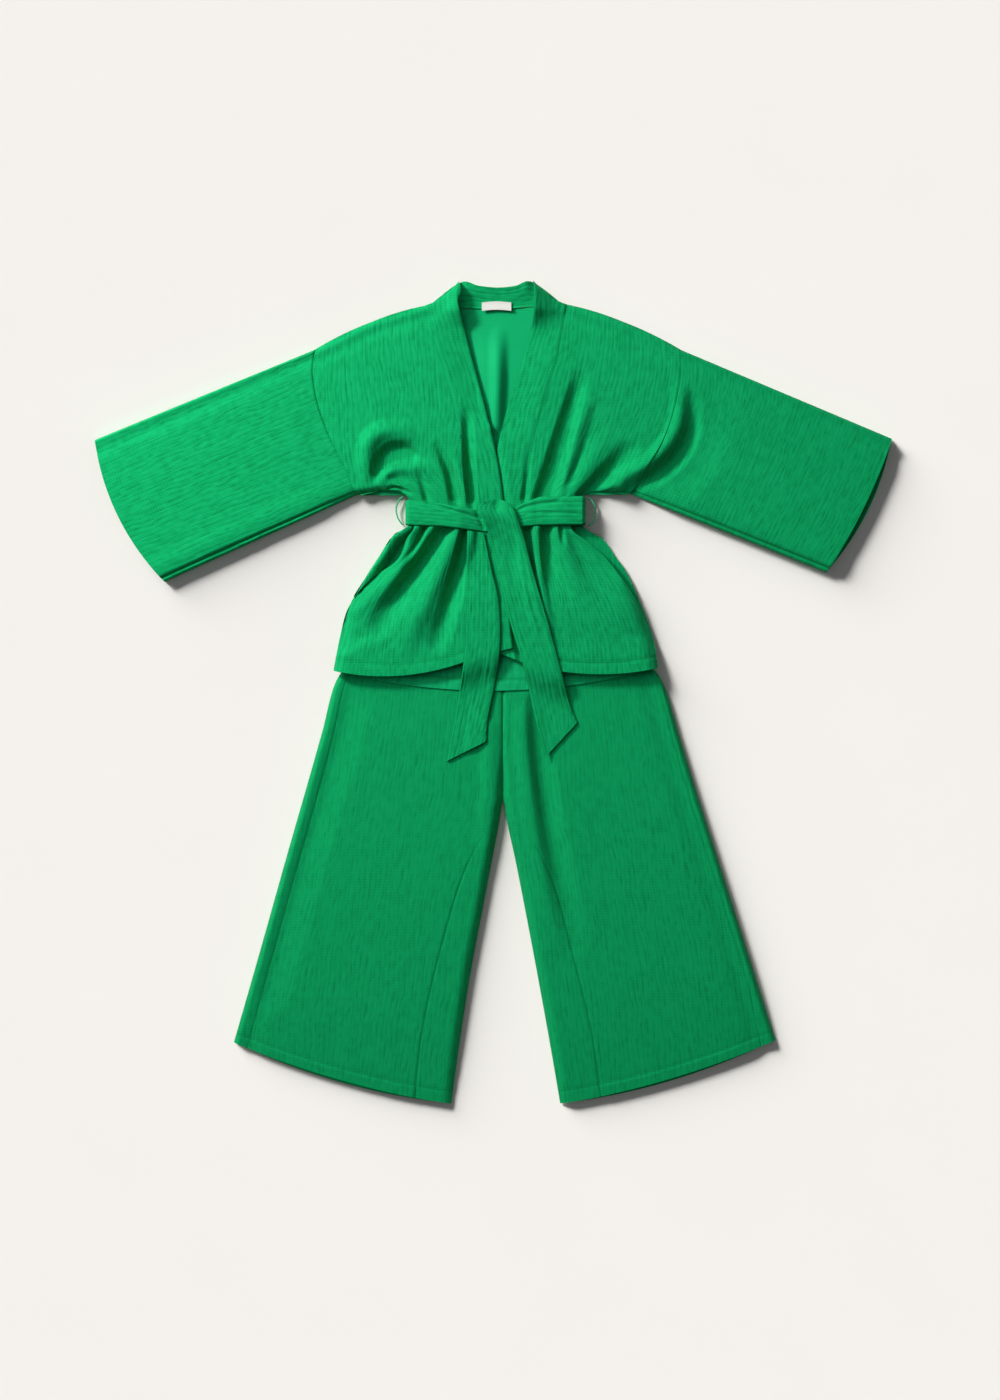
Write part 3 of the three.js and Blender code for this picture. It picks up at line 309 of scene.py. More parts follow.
# Folds: a curve through three points, its reach at both ends, and its rise at the start, bend and end
FOLD_COLUMNS = "start bend end reach rise"
FOLDS_UP_LEFT = table(
    FOLD_COLUMNS,
    ((-0.048, 0.500), (-0.044, 0.420), (-0.038, 0.332), (0.010, 0.009), (-0.003, -0.016, -0.017)),
    ((-0.101, 0.441), (-0.078, 0.392), (-0.064, 0.332), (0.007, 0.013), (-0.003, -0.014, -0.020)),
    ((-0.072, 0.430), (-0.059, 0.385), (-0.050, 0.335), (0.009, 0.009), (0.002, 0.006, 0.008)),
    ((-0.134, 0.392), (-0.126, 0.370), (-0.117, 0.340), (0.006, 0.008), (-0.001, -0.006, -0.009)),
    ((-0.208, 0.394), (-0.191, 0.420), (-0.158, 0.427), (0.012, 0.020), (-0.012, -0.034, -0.018)),
    ((-0.182, 0.428), (-0.156, 0.428), (-0.112, 0.412), (0.016, 0.009), (-0.014, -0.009, -0.001)),
    ((-0.228, 0.390), (-0.214, 0.460), (-0.140, 0.462), (0.013, 0.017), (0.004, 0.012, 0.002)),
    ((-0.204, 0.374), (-0.172, 0.402), (-0.122, 0.394), (0.008, 0.014), (0.003, 0.006, 0.001)),
    ((-0.200, 0.378), (-0.184, 0.384), (-0.164, 0.378), (0.005, 0.007), (-0.001, -0.003, -0.001)),
    ((-0.188, 0.366), (-0.172, 0.367), (-0.150, 0.357), (0.003, 0.003), (-0.004, -0.008, -0.003)),
)
FOLDS_UP_RIGHT = table(
    FOLD_COLUMNS,
    ((0.156, 0.566), (0.129, 0.470), (0.092, 0.346), (0.013, 0.018), (-0.003, -0.020, -0.023)),
    ((0.172, 0.530), (0.148, 0.450), (0.112, 0.350), (0.014, 0.012), (0.002, 0.008, 0.009)),
    ((0.180, 0.510), (0.162, 0.460), (0.140, 0.400), (0.010, 0.012), (-0.001, -0.002, -0.001)),
    ((0.240, 0.430), (0.200, 0.388), (0.160, 0.350), (0.018, 0.011), (-0.008, -0.016, -0.014)),
    ((0.200, 0.456), (0.166, 0.396), (0.134, 0.350), (0.016, 0.012), (0.001, 0.006, 0.008)),
    ((0.064, 0.440), (0.060, 0.392), (0.055, 0.345), (0.006, 0.007), (-0.001, -0.004, -0.007)),
    ((0.336, 0.540), (0.312, 0.446), (0.222, 0.374), (0.014, 0.014), (0.004, 0.011, 0.008)),
    ((0.356, 0.520), (0.338, 0.430), (0.250, 0.372), (0.014, 0.016), (-0.003, -0.012, -0.007)),
    ((0.384, 0.520), (0.362, 0.420), (0.278, 0.358), (0.034, 0.040), (-0.001, -0.006, -0.003)),
)
FOLDS_DOWN_LEFT = table(
    FOLD_COLUMNS,
    ((-0.168, 0.270), (-0.194, 0.232), (-0.220, 0.194), (0.013, 0.010), (-0.012, -0.015, -0.004)),
    ((-0.139, 0.294), (-0.152, 0.262), (-0.168, 0.230), (0.009, 0.008), (0.008, 0.008, 0.002)),
    ((-0.124, 0.294), (-0.138, 0.264), (-0.160, 0.236), (0.006, 0.005), (-0.012, -0.009, -0.002)),
    ((-0.108, 0.294), (-0.164, 0.220), (-0.240, 0.152), (0.010, 0.018), (0.009, 0.012, 0.003)),
    ((-0.086, 0.294), (-0.141, 0.216), (-0.204, 0.118), (0.014, 0.020), (-0.016, -0.019, -0.009)),
    ((-0.064, 0.290), (-0.104, 0.200), (-0.160, 0.082), (0.013, 0.020), (0.009, 0.012, 0.003)),
    ((-0.047, 0.290), (-0.066, 0.200), (-0.100, 0.090), (0.012, 0.017), (-0.016, -0.018, -0.007)),
)
FOLDS_DOWN_RIGHT = table(
    FOLD_COLUMNS,
    ((0.060, 0.292), (0.068, 0.206), (0.088, 0.120), (0.009, 0.010), (-0.013, -0.012, -0.003)),
    ((0.077, 0.294), (0.084, 0.206), (0.100, 0.120), (0.008, 0.009), (0.008, 0.008, 0.002)),
    ((0.095, 0.294), (0.099, 0.250), (0.110, 0.190), (0.009, 0.014), (-0.015, -0.011, -0.002)),
    ((0.117, 0.292), (0.136, 0.232), (0.164, 0.170), (0.013, 0.020), (0.007, 0.008, 0.002)),
    ((0.121, 0.294), (0.123, 0.278), (0.126, 0.262), (0.005, 0.005), (-0.008, -0.007, -0.001)),
    ((0.038, 0.122), (0.045, 0.086), (0.052, 0.048), (0.008, 0.009), (-0.003, -0.012, -0.010)),
)
FOLDS_BACK = table(
    FOLD_COLUMNS,
    ((0.009, 0.640), (0.008, 0.560), (0.005, 0.478), (0.013, 0.010), (0.003, 0.013, 0.008)),
    ((-0.010, 0.640), (-0.011, 0.560), (-0.008, 0.478), (0.022, 0.012), (0.001, 0.005, 0.002)),
)
FOLDS_LEGS = table(
    FOLD_COLUMNS,
    ((0.078, -0.020), (0.100, -0.220), (0.148, -0.450), (0.016, 0.022), (-0.007, -0.011, -0.002)),
    ((0.050, -0.040), (0.068, -0.220), (0.112, -0.450), (0.014, 0.018), (0.003, 0.005, 0.001)),
    ((-0.008, -0.060), (-0.006, -0.150), (-0.014, -0.300), (0.014, 0.018), (0.003, 0.004, 0.001)),
    ((-0.244, -0.020), (-0.318, -0.260), (-0.396, -0.540), (0.024, 0.024), (-0.003, -0.0045, -0.003)),
)

# The belt's stretch across the front, and its tails' edges down their length
BELT_FRONT = table(
    "x top_y low_y",
    (-0.153, 0.345, 0.299),
    (-0.091, 0.337, 0.297),
    (-0.024, 0.325, 0.288),
    (0.010, 0.323, 0.286),
    (0.036, 0.329, 0.293),
    (0.056, 0.340, 0.297),
    (0.084, 0.350, 0.299),
    (0.160, 0.351, 0.300),
)
BELT_CREASES = (
    {"depth": 0.0032, "width": 0.0026, "line": ((-0.118, 0.338), (-0.090, 0.331), (-0.064, 0.322),
                                                (-0.024, 0.312))},
    {"depth": 0.0034, "width": 0.0045, "line": ((0.036, 0.325), (0.070, 0.334), (0.116, 0.341))},
    {"depth": 0.0016, "width": 0.0018, "line": ((0.040, 0.320), (0.090, 0.322), (0.160, 0.318))},
    {"depth": 0.0045, "width": 0.0035, "line": ((-0.035, 0.342), (-0.032, 0.329), (-0.017, 0.294))},
)
TAIL_COLUMNS = "left_x left_y right_x right_y"
TAIL_RIGHT = table(
    TAIL_COLUMNS,
    (-0.017, 0.338, 0.027, 0.338),
    (-0.027, 0.330, 0.036, 0.328),
    (-0.019, 0.309, 0.044, 0.309),
    (-0.009, 0.282, 0.056, 0.272),
    (0.005, 0.226, 0.070, 0.219),
    (0.028, 0.130, 0.096, 0.132),
    (0.055, 0.040, 0.119, 0.046),
    (0.075, -0.050, 0.139, -0.026),
    (0.093, -0.117, 0.151, -0.054),
)
TAIL_LEFT = table(
    TAIL_COLUMNS,
    (-0.047, 0.289, -0.016, 0.285),
    (-0.048, 0.222, -0.003, 0.220),
    (-0.049, 0.160, 0.010, 0.160),
    (-0.051, 0.080, 0.012, 0.080),
    (-0.060, 0.010, 0.002, 0.010),
    (-0.073, -0.062, -0.010, -0.050),
    (-0.084, -0.124, -0.012, -0.088),
)
HEM_LEFT = table("x y", (-0.110, 0.036), (-0.069, 0.046), (-0.019, 0.066), (0.036, 0.078))
HEM_RIGHT = table("x y", (-0.007, 0.075), (0.057, 0.050), (0.100, 0.038), (0.180, 0.030))
THREAD_LOOPS = {
    "thread_loop_left": (
        (-0.162, 0.351), (-0.169, 0.346), (-0.175, 0.331), (-0.172, 0.313), (-0.163, 0.300),
    ),
    "thread_loop_right": (
        (0.168, 0.351), (0.177, 0.344), (0.183, 0.330), (0.180, 0.308), (0.169, 0.298),
    ),
}


# Reading the tables

def row_at(rows, place):
    """Each column of a table at places between its rows, running smoothly through them."""
    place = np.asarray(place, float)
    last = len(next(iter(rows.values()))) - 1
    start = np.clip(np.floor(place).astype(int), 0, last - 1)
    f = place - start
    found = {}
    for name, column in rows.items():
        a, b, c, d = (column[np.clip(start + k, 0, last)] for k in (-1, 0, 1, 2))
        before = (c - a) / 2
        after = (d - b) / 2
        cubic = 2 * b - 2 * c + before + after
        square = 3 * c - 3 * b - 2 * before - after
        found[name] = cubic * f**3 + square * f**2 + before * f + b
    return found


def look_up(rows, key, at, column):
    """One column's value where another has the value asked for, straight between the rows."""
    order = np.argsort(rows[key], kind="stable")
    return np.interp(at, rows[key][order], rows[column][order])


def lerp(a, b, f):
    return a + (b - a) * f


def smoothstep(x, low, high):
    f = np.clip((x - low) / (high - low), 0, 1)
    return f * f * (3 - 2 * f)


def bell(distance, width):
    """1 on a line, and almost 0 at twice the width from it."""
    return np.exp(-((distance / width) ** 2))


def crown(distance, reach):
    """How far cloth has risen, from 0 at an edge where it turns over to 1 at the reach."""
    return 1 - (1 - np.clip(distance / reach, 0, 1)) ** 2.3


def soft_floor(height):
    """A height that never goes below zero and gets there smoothly."""
    soft = 0.003
    low = soft * np.exp(np.minimum(height, soft) / soft - 1) * 0.9 + 0.1 * np.maximum(height, 0)
    return np.where(height > soft, height, low)


def nearest(line, x, y):
    """The distance to a line of points, and how far along it the nearest place is, in steps."""
    best = np.full(x.shape, np.inf)
    along = np.zeros(x.shape)
    for i in range(len(line) - 1):
        (px, py), (qx, qy) = line[i], line[i + 1]
        dx, dy = qx - px, qy - py
        f = np.clip(((x - px) * dx + (y - py) * dy) / (dx * dx + dy * dy), 0, 1)
        distance = np.hypot(x - px - f * dx, y - py - f * dy)
        closer = distance < best
        best = np.where(closer, distance, best)
        along = np.where(closer, i + f, along)
    return best, along


def folds_at(groups, x, y):
    """The height that sets of folds add at each point."""
    x, y = np.broadcast_arrays(x, y)
    height = np.zeros(x.shape)
    steps = 10
    f = np.linspace(0, 1, steps + 1)
    weights = np.array([(1 - f) * (1 - 2 * f), 4 * f * (1 - f), f * (2 * f - 1)])
    for folds in groups:
        for i in range(len(folds["start"])):
            ends = np.array([folds["start"][i], folds["bend"][i], folds["end"][i]])
            line = weights.T @ ends
            rise = weights.T @ folds["rise"][i]
            reach = lerp(folds["reach"][i][0], folds["reach"][i][1], f) * 1.5
            margin = reach.max()
            (low_x, low_y), (high_x, high_y) = line.min(0) - margin, line.max(0) + margin
            near = (x > low_x) & (x < high_x) & (y > low_y) & (y < high_y)
            if near.any():
                distance, along = nearest(line, x[near], y[near])
                share = np.clip(distance / np.interp(along, np.arange(steps + 1), reach), 0, 1)
                height[near] += np.interp(along, np.arange(steps + 1), rise) * (1 - share**2) ** 2
    return height


JACKET_FOLDS = (FOLDS_UP_LEFT, FOLDS_UP_RIGHT, FOLDS_DOWN_LEFT, FOLDS_DOWN_RIGHT)


# Heights of the layers

def jacket_outlines():
    """The outline where the jacket's cloth turns over: shoulder to cuff, and cuff to hem, each side."""
    lines = []
    for band, side, cuff in ((BAND_LEFT, SIDE_LEFT, SLEEVE_LEFT), (BAND_RIGHT, SIDE_RIGHT, SLEEVE_RIGHT)):
        seam = (band["seam_x"][0], band["seam_y"][0])
        end = (side["side_x"][0], side["side_y"][0])
        middle = ((seam[0] + end[0]) / 2, (seam[1] + end[1]) / 2 + SHOULDER_BOW)
        lines.append([(band["free_x"][0], band["free_y"][0]), seam, middle, end, cuff["top"]])
        below = zip(side["side_x"][UNDERARM_ROW:], side["side_y"][UNDERARM_ROW:])
        lines.append([cuff["under"], *below])
    return lines


OUTLINES = jacket_outlines()


def outline_distance(x, y):
    return np.minimum.reduce([nearest(line, x, y)[0] for line in OUTLINES])


def thickness(under, x, y, wall):
    """A wall's upright thickness, which grows with its slope."""
    step = 0.002
    dx = (under(x + step, y) - under(x - step, y)) / (2 * step)
    dy = (under(x, y + step) - under(x, y - step)) / (2 * step)
    return wall * np.minimum(np.sqrt(1 + dx * dx + dy * dy), STEEPEST)


def trousers_top(x, y):
    top = np.zeros(x.shape)
    for legs, inside in ((LEG_LEFT, x < CENTRE_X), (LEG_RIGHT, x >= CENTRE_X)):
        for place in np.linspace(0, LEG_ROWS, 4 * LEG_ROWS + 1):
            row = row_at(legs, place)
            across = np.clip((x - row["outer_x"]) / (row["inner_x"] - row["outer_x"]), 0, 1)
            level = np.abs(y - lerp(row["outer_y"], row["inner_y"], across)) < 0.016
            top = np.where(inside & level, np.maximum(top, row["height"]), top)
    return np.where((top == 0) & (y > 0), LEG_LEFT["height"][0], top)


def back_under(x, y):
    """The jacket's back lifts over the belt's back stretch and over the trousers."""
    over_trousers = 1 - smoothstep(y, 0.128, 0.240)
    left = look_up(LEG_LEFT, "outer_y", y, "outer_x") - x
    right = x - look_up(LEG_RIGHT, "outer_y", y, "outer_x")
    beyond = np.where(x < CENTRE_X, left, right)
    trousers = lerp(0.010, 0.0146, 1 - smoothstep(y, 0.020, 0.110)) + LAYER
    over_belt = BELT_LIFT * (1 - smoothstep(np.abs(y - WAIST_Y), BELT_HALF + 0.004, BELT_HALF + 0.050))
    draped = trousers * (1 - 0.75 * smoothstep(beyond, 0.022, 0.090))
    return over_trousers * draped + over_belt + folds_at([FOLDS_BACK], x, y)


def back_top(x, y):
    return back_under(x, y) + thickness(back_under, x, y, CLOTH)


def beside_v(x, y):
    """1 along the bands' free edges where the neck opening shows, down to 0 further into the fronts."""
    into_left = look_up(BAND_LEFT, "free_y", y, "free_x") - x
    into_right = x - look_up(BAND_RIGHT, "free_y", y, "free_x")
    along = smoothstep(y, 0.440, 0.500) * (1 - smoothstep(y, 0.620, 0.670))
    return along * (1 - smoothstep(np.maximum(into_left, into_right), 0.002, 0.060))


def front_under(x, y):
    """The fronts' common underside: off the back by the puff, down to it at the outline."""
    distance = outline_distance(x, y)
    pinch = lerp(0.25, 1, smoothstep(np.abs(y - WAIST_Y), BELT_HALF - 0.010, BELT_HALF + 0.006))
    shoulder = smoothstep(y, 0.560, 0.610)
    reach = SIDE_REACH - UNDERARM_STEEP * bell(y - UNDERARM_Y, UNDERARM_SPAN) - SHOULDER_STEEP * shoulder
    puff = look_up(PUFF, "y", y, "puff") * crown(distance, reach)
    puff = puff - TOP_DIP * shoulder * bell(distance - TOP_DIP_IN, TOP_DIP_WIDTH)
    puff = puff * (1 - V_SETTLE * beside_v(x, y))
    folded = folds_at(JACKET_FOLDS, x, y) * pinch * crown(distance, SIDE_REACH / 2)
    return back_top(x, y) + LAYER + soft_floor(puff + folded)


def collar_stand(x, y, band):
    """The neckband stands up beside the neck, and clears the band behind the neck."""
    beside = smoothstep(y, 0.650, 0.690)
    free_x = look_up(band, "free_y", y, "free_x")
    seam_x = look_up(band, "seam_y", y, "seam_x")
    across = np.clip((x - seam_x) / (free_x - seam_x), 0, 1)
    over_band = 0.0016 * smoothstep(y, 0.674, 0.686) * smoothstep(across, 0, 0.05)
    return COLLAR_STAND * beside * across**1.5 * crown(outline_distance(x, y), 0.022) + over_band


def left_under(x, y):
    return front_under(x, y) + collar_stand(x, y, BAND_LEFT)


def right_under(x, y):
    """The right front drops where the left front's free edge lies over it."""
    free_x = look_up(BAND_LEFT, "free_y", y, "free_x")
    tucked = (1 - smoothstep(x, free_x - 0.002, free_x + 0.016)) * (1 - smoothstep(y, 0.450, 0.520))
    return front_under(x, y) + collar_stand(x, y, BAND_RIGHT) - TUCK * tucked


def belt_edge(x, column):
    return look_up(BELT_FRONT, "x", x, column)


def belt_heights():
    """The belt's underside along its stretch: clear of the highest cloth beneath its width."""
    stations = np.arange(-0.153, 0.1605, 0.001)
    x, y = np.meshgrid(stations, (0.285, 0.292, 0.300, 0.310, 0.322, 0.334, 0.342, 0.350), indexing="ij")
    top = front_under(x, y) + thickness(front_under, x, y, BAND)
    covered = (y > belt_edge(x, "low_y") - 0.004) & (y < belt_edge(x, "top_y") + 0.004)
    top = np.where(covered, top, 0).max(axis=1)
    window = 18
    padded = np.pad(top, window, mode="edge")
    around = np.max([padded[i:i + len(top)] for i in range(2 * window + 1)], axis=0)
    padded = np.pad(around, window, mode="edge")
    even = np.mean([padded[i:i + len(top)] for i in range(2 * window + 1)], axis=0)
    return stations, even + LAYER + 0.0005


BELT_STATIONS, BELT_TOPS = belt_heights()


def belt_under(x):
    return np.interp(x, BELT_STATIONS, BELT_TOPS)


def support_at(x, y, over_belt):
    """What a tail lies on: the fronts and their bands, the back below their hems, then the trousers."""
    left = x < look_up(BAND_LEFT, "free_y", y, "free_x") + 0.002
    hem_y = np.where(left, look_up(HEM_LEFT, "x", x, "y"), look_up(HEM_RIGHT, "x", x, "y"))
    fronts = []
    for under in (left_under, right_under):
        fronts.append(under(x, y) + thickness(under, x, y, BAND) + TURN_RISE)
    top = np.where(left, fronts[0], fronts[1])
    if over_belt:
        on_belt = (y < belt_edge(x, "top_y")) & (y > belt_edge(x, "low_y"))
        top = np.where(on_belt, belt_under(x) + BELT, top)
    top = np.where(y < hem_y, back_top(x, y), top)
    return np.where(y < HEM_BACK_Y, trousers_top(x, y) + folds_at([FOLDS_LEGS], x, y), top)


def tail_under(x, y, over_belt):
    """A tail bridges from crest to crest of what is beneath it."""
    highest = support_at(x, y, over_belt)
    for i in range(16):
        angle = i * math.pi / 4
        near = i < 8
        span = TAIL_SPAN * (0.5 if near else 1)
        around = support_at(x + span * math.cos(angle), y + span * math.sin(angle), over_belt)
        highest = np.maximum(highest, around - (0 if near else 0.0006))
    return highest + TAIL_AIR


# The crinkle

def noise(u, v, seed):
    """Smooth noise from -1 to 1 on a grid of whole numbers."""
    u, v = np.broadcast_arrays(u, v)
    at_u, at_v = np.floor(u), np.floor(v)
    fu, fv = u - at_u, v - at_v
    fu, fv = fu * fu * (3 - 2 * fu), fv * fv * (3 - 2 * fv)

    def corner(du, dv):
        mixed = np.sin((at_u + du) * 127.1 + (at_v + dv) * 311.7 + seed * 74.7) * 43758.5453
        return 2 * (mixed - np.floor(mixed)) - 1

    return lerp(lerp(corner(0, 0), corner(1, 0), fu), lerp(corner(0, 1), corner(1, 1), fu), fv)


def crinkle(u, v, seed, waver=1):
    """The cloth's ribs from 0 in a groove to 1 on a crest: u runs across them and v along them."""
    drift = 0.45 * noise(u / 0.016, v / 0.030, seed) + 0.8 * noise(u / 0.070, v / 0.180, seed + 1)
    ribs = np.abs(np.sin(np.pi * (u / RIB + waver * drift))) ** 0.8 - 0.68
    strength = 0.62 + 0.38 * noise(u / 0.011, v / 0.024, seed + 2)
    beads = noise(u / 0.0052, v / 0.0092, seed + 4)
    return np.clip(0.6 + 0.66 * strength * ribs + 0.24 * beads, 0, 1.15)


# Meshes

def points(x, y, z):
    return np.stack(np.broadcast_arrays(x, y, z), axis=-1)


def flat(u, v):
    """Places on the flat cloth, across and along it."""
    return points(u, v, 0)[..., :2]


def quads(grid, flip=False):
    corners = [grid[:-1, :-1], grid[:-1, 1:], grid[1:, 1:], grid[1:, :-1]]
    return np.stack([c.ravel() for c in (corners[::-1] if flip else corners)], axis=1)


def shell(name, outer, inner, lay, relief, tube=False):
    """A closed wall of cloth between two grids of points. lay holds each point's place on the flat
    cloth, in metres, and relief how high it stands on a rib, which also sets its colour: painted shade
    low and a painted highlight high. A tube closes across its columns."""
    rows, columns = outer.shape[:2]
    grid = np.arange(rows * columns).reshape(rows, columns)
    if tube:
        grid = np.hstack([grid, grid[:, :1]])
    under = grid + rows * columns
    faces = [quads(grid), quads(under, flip=True)]
    for first, second in ((grid[:1], under[:1]), (under[-1:], grid[-1:])):
        faces.append(quads(np.vstack([second, first])))
    if not tube:
        faces.append(quads(np.stack([grid[:, 0], under[:, 0]], axis=1)))
        faces.append(quads(np.stack([under[:, -1], grid[:, -1]], axis=1)))
    faces = np.vstack(faces)
    spots = np.vstack([outer.reshape(-1, 3), inner.reshape(-1, 3)])
    a, b, c, d = (spots[faces[:, k]] for k in range(4))
    volume = (a * np.cross(b, c)).sum() + (a * np.cross(c, d)).sum()
    if volume < 0:
        faces = faces[:, ::-1]
    lay = np.vstack([lay.reshape(-1, 2)] * 2)
    relief = np.concatenate([relief.ravel(), np.full(relief.size, UNDERSIDE)])
    return cloth_mesh(name, spots, faces, lay, relief)


def cloth_mesh(name, spots, faces, lay, relief):
    mesh = bpy.data.meshes.new(name)
    mesh.vertices.add(len(spots))
    mesh.vertices.foreach_set("co", spots.ravel())
    mesh.loops.add(faces.size)
    mesh.loops.foreach_set("vertex_index", faces.ravel().astype(np.int32))
    mesh.polygons.add(len(faces))
    mesh.polygons.foreach_set("loop_start", np.arange(0, faces.size, 4, dtype=np.int32))
    mesh.update(calc_edges=True)
    mesh.uv_layers.new(name="lay").uv.foreach_set("vector", lay[faces.ravel()].ravel())
    mesh.attributes.new("relief", "FLOAT", "POINT").data.foreach_set("value", relief.astype(np.float32))
    mesh.polygons.foreach_set("use_smooth", np.ones(len(faces), bool))
    mesh.set_sharp_from_angle(angle=math.radians(70))
    piece = bpy.data.objects.new(name, mesh)
    bpy.context.scene.collection.objects.link(piece)
    return piece


# Cloth that lies on other cloth

def edge_pair(rows, first, second):
    """Gives two edges of a table at a place, each by the name that its two columns begin with."""
    def edges(place):
        row = row_at(rows, place)
        return (row[first + "_x"], row[first + "_y"]), (row[second + "_x"], row[second + "_y"])

    return edges


def lengthwise(edges, first, last, spacing):
    """Places from one row to another, evenly spaced along the mean of two edges."""
    trial = np.linspace(first, last, 600)
    (ax, ay), (bx, by) = edges(trial)
    length = (np.hypot(np.diff(ax), np.diff(ay)) + np.hypot(np.diff(bx), np.diff(by))) / 2
    total = np.concatenate([[0], np.cumsum(length)])
    count = int(math.ceil(total[-1] / spacing)) + 1
    return np.interp(np.linspace(0, total[-1], count), total, trial)


def panel_plan(edges, place, f, top_bow=0, hem_bow=0):
    """Points between two edges, with the first and last rows bowed."""
    (ax, ay), (bx, by) = edges(place)
    near_hem = smoothstep(place, LAST_ROW - 6, LAST_ROW)
    near_top = 1 - smoothstep(place, 0, 1.5)
    bow = 4 * f * (1 - f)
    x = lerp(ax, bx, f)
    y = lerp(ay, by, f) + bow * (hem_bow * near_hem + top_bow * near_top)
    return x, y


def layer(name, x, y, under, wall, relief, lay, height=RIB_HEIGHT, extra=0, lift=0):
    """A single layer: its underside's height, its wall, and the crinkle on its upper side."""
    low = under(x, y) + lift
    high = low + thickness(under, x, y, wall) + extra + height * (relief - PLAIN)
    return shell(name, points(x, y, high), points(x, y, low), lay, relief)


def front_panel(name, side, band, inward, under, hem_bow, fan, seed):
    """A front from the jacket's side to the neckband's seam, with a turned hem and a pocket's mouth."""
    edges = edge_pair({**side, **band}, "front", "seam")
    place = lengthwise(edges, 0, LAST_ROW, FRONT_STEP)[:, None]
    f = np.linspace(0, 1, 126)[None, :]
    x, y = panel_plan(edges, place, f, SHOULDER_BOW, hem_bow)
    gathered = -inward * (1 - f) * 0.245
    share = lerp(fan, 0.85, 1 - smoothstep(y, 0.30, 0.52))
    u = lerp(x, gathered, share)
    relief = crinkle(u, y, seed)
    turn_start = LAST_ROW - TURN_PLACES
    groove = bell(place - (turn_start - 0.03), STITCH_WIDTH)
    from_side = np.hypot(x - x[:, :1], y - y[:, :1])
    armhole = bell(from_side, SEAM_WIDTH) * (place < UNDERARM_ROW + 0.2)
    armhole = armhole * lerp(1, 0.35, smoothstep(place, 2.4, 4.5)) * (1 if inward > 0 else 0.5)
    # Along the hem's stitch line and the armhole seam the crinkle is pressed down: a real dip, and a
    # darker colour there that is painted shade.
    relief = relief * (1 - PRESSED_AND_SHADED * groove) * (1 - PRESSED_AND_SHADED * armhole)
    turned = smoothstep(place, turn_start - 0.02, turn_start + 0.03)
    extra = TURN_RISE * turned - STITCH_FRONT * groove - SEAM_DEPTH * armhole
    mouth = smoothstep(place, POCKET_TOP - 0.2, POCKET_TOP + 0.2)
    mouth = mouth * (1 - smoothstep(place, POCKET_FOOT_LEFT - 0.5, POCKET_FOOT_LEFT + 0.5))
    lip = POCKET_LIP * mouth * bell(from_side, 0.008)
    return layer(name, x, y, under, CLOTH, relief, flat(u, y), extra=extra, lift=lip)


def front_band(name, band, under, seed):
    """The neckband down a front, flush with the front at its seam and rounded at its free edge."""
    edges = edge_pair(band, "seam", "free")
    place = lengthwise(edges, 0, LAST_ROW, FRONT_STEP)[:, None]
    f = np.linspace(0, 1, 33)[None, :]
    x, y = panel_plan(edges, place, f, BAND_DIP)
    u, v = np.broadcast_arrays(f * BAND_WIDTH, y)
    relief = crinkle(u, v, seed)
    at_seam, at_edge = crown(f * BAND_WIDTH, 0.008), crown((1 - f) * BAND_WIDTH, 0.004)
    sunk = -0.0008 * (1 - at_seam) - 0.0013 * (1 - at_edge)
    # Towards the seam and the rounded free edge the relief falls: a real dip, and a darker colour there
    # that is painted shade.
    relief = relief * at_edge * lerp(0.6, 1, at_seam)
    return layer(name, x, y, under, BAND, relief, flat(u, v), extra=sunk)


def jacket_back():
    """The back with the shoulders, plain where only its smooth inside shows."""
    def edges(place):
        left, right = row_at(SIDE_LEFT, place), row_at(SIDE_RIGHT, place)
        return (left["side_x"], left["side_y"]), (right["side_x"], right["side_y"])

    place = lengthwise(edges, 0, LAST_ROW, BACK_STEP)[:, None]
    f = np.linspace(0, 1, 133)[None, :]
    x, y = panel_plan(edges, place, f, 0, HEM_BOW_BACK)
    left, right, end_y = SIDE_LEFT["side_x"][0], SIDE_RIGHT["side_x"][0], SIDE_LEFT["side_y"][0]
    shoulder = look_up(SHOULDERS, "x", lerp(left, right, f), "y")
    y = y + (shoulder - end_y) * (1 - smoothstep(place, 0, UNDERARM_ROW))
    hem = smoothstep(place, 13.5, 14.5)
    groove = bell(place - (LAST_ROW - TURN_PLACES), STITCH_WIDTH)
    # The hem's stitch line presses the relief down: a real dip, and a darker colour there that is painted
    # shade.
    relief = lerp(PLAIN, crinkle(x, y, 5), hem) * (1 - PRESSED_AND_SHADED * groove)
    return layer("back", x, y, back_under, CLOTH, relief, flat(x, y), extra=-STITCH_BACK * groove)


def pocket_strip(name, side, outward, last, rolled):
    """The cloth beside a pocket's mouth: a rolled edge beside an open hollow, or a flat strip."""
    place = np.linspace(POCKET_TOP + 0.05, last, 44)[:, None]
    f = np.linspace(0, 1, 13)[None, :]
    row = row_at(side, place)
    x = lerp(row["front_x"] + outward * 0.0012, row["side_x"] + outward * 0.0004, f)
    y = lerp(row["front_y"], row["side_y"], f)

    def under(px, py):
        distance = outline_distance(px, py)
        if rolled:
            stand = ROLL_RISE * crown(distance, 0.004) * (1 - smoothstep(distance, 0.005, 0.024))
        else:
            stand = 0.15 * soft_floor(look_up(PUFF, "y", py, "puff") * crown(distance, SIDE_REACH))
        return back_top(px, py) + LAYER + stand

    return layer(name, x, y, under, CLOTH, crinkle(x, y, 9), flat(x, y), height=RIB_HEIGHT * 0.6)


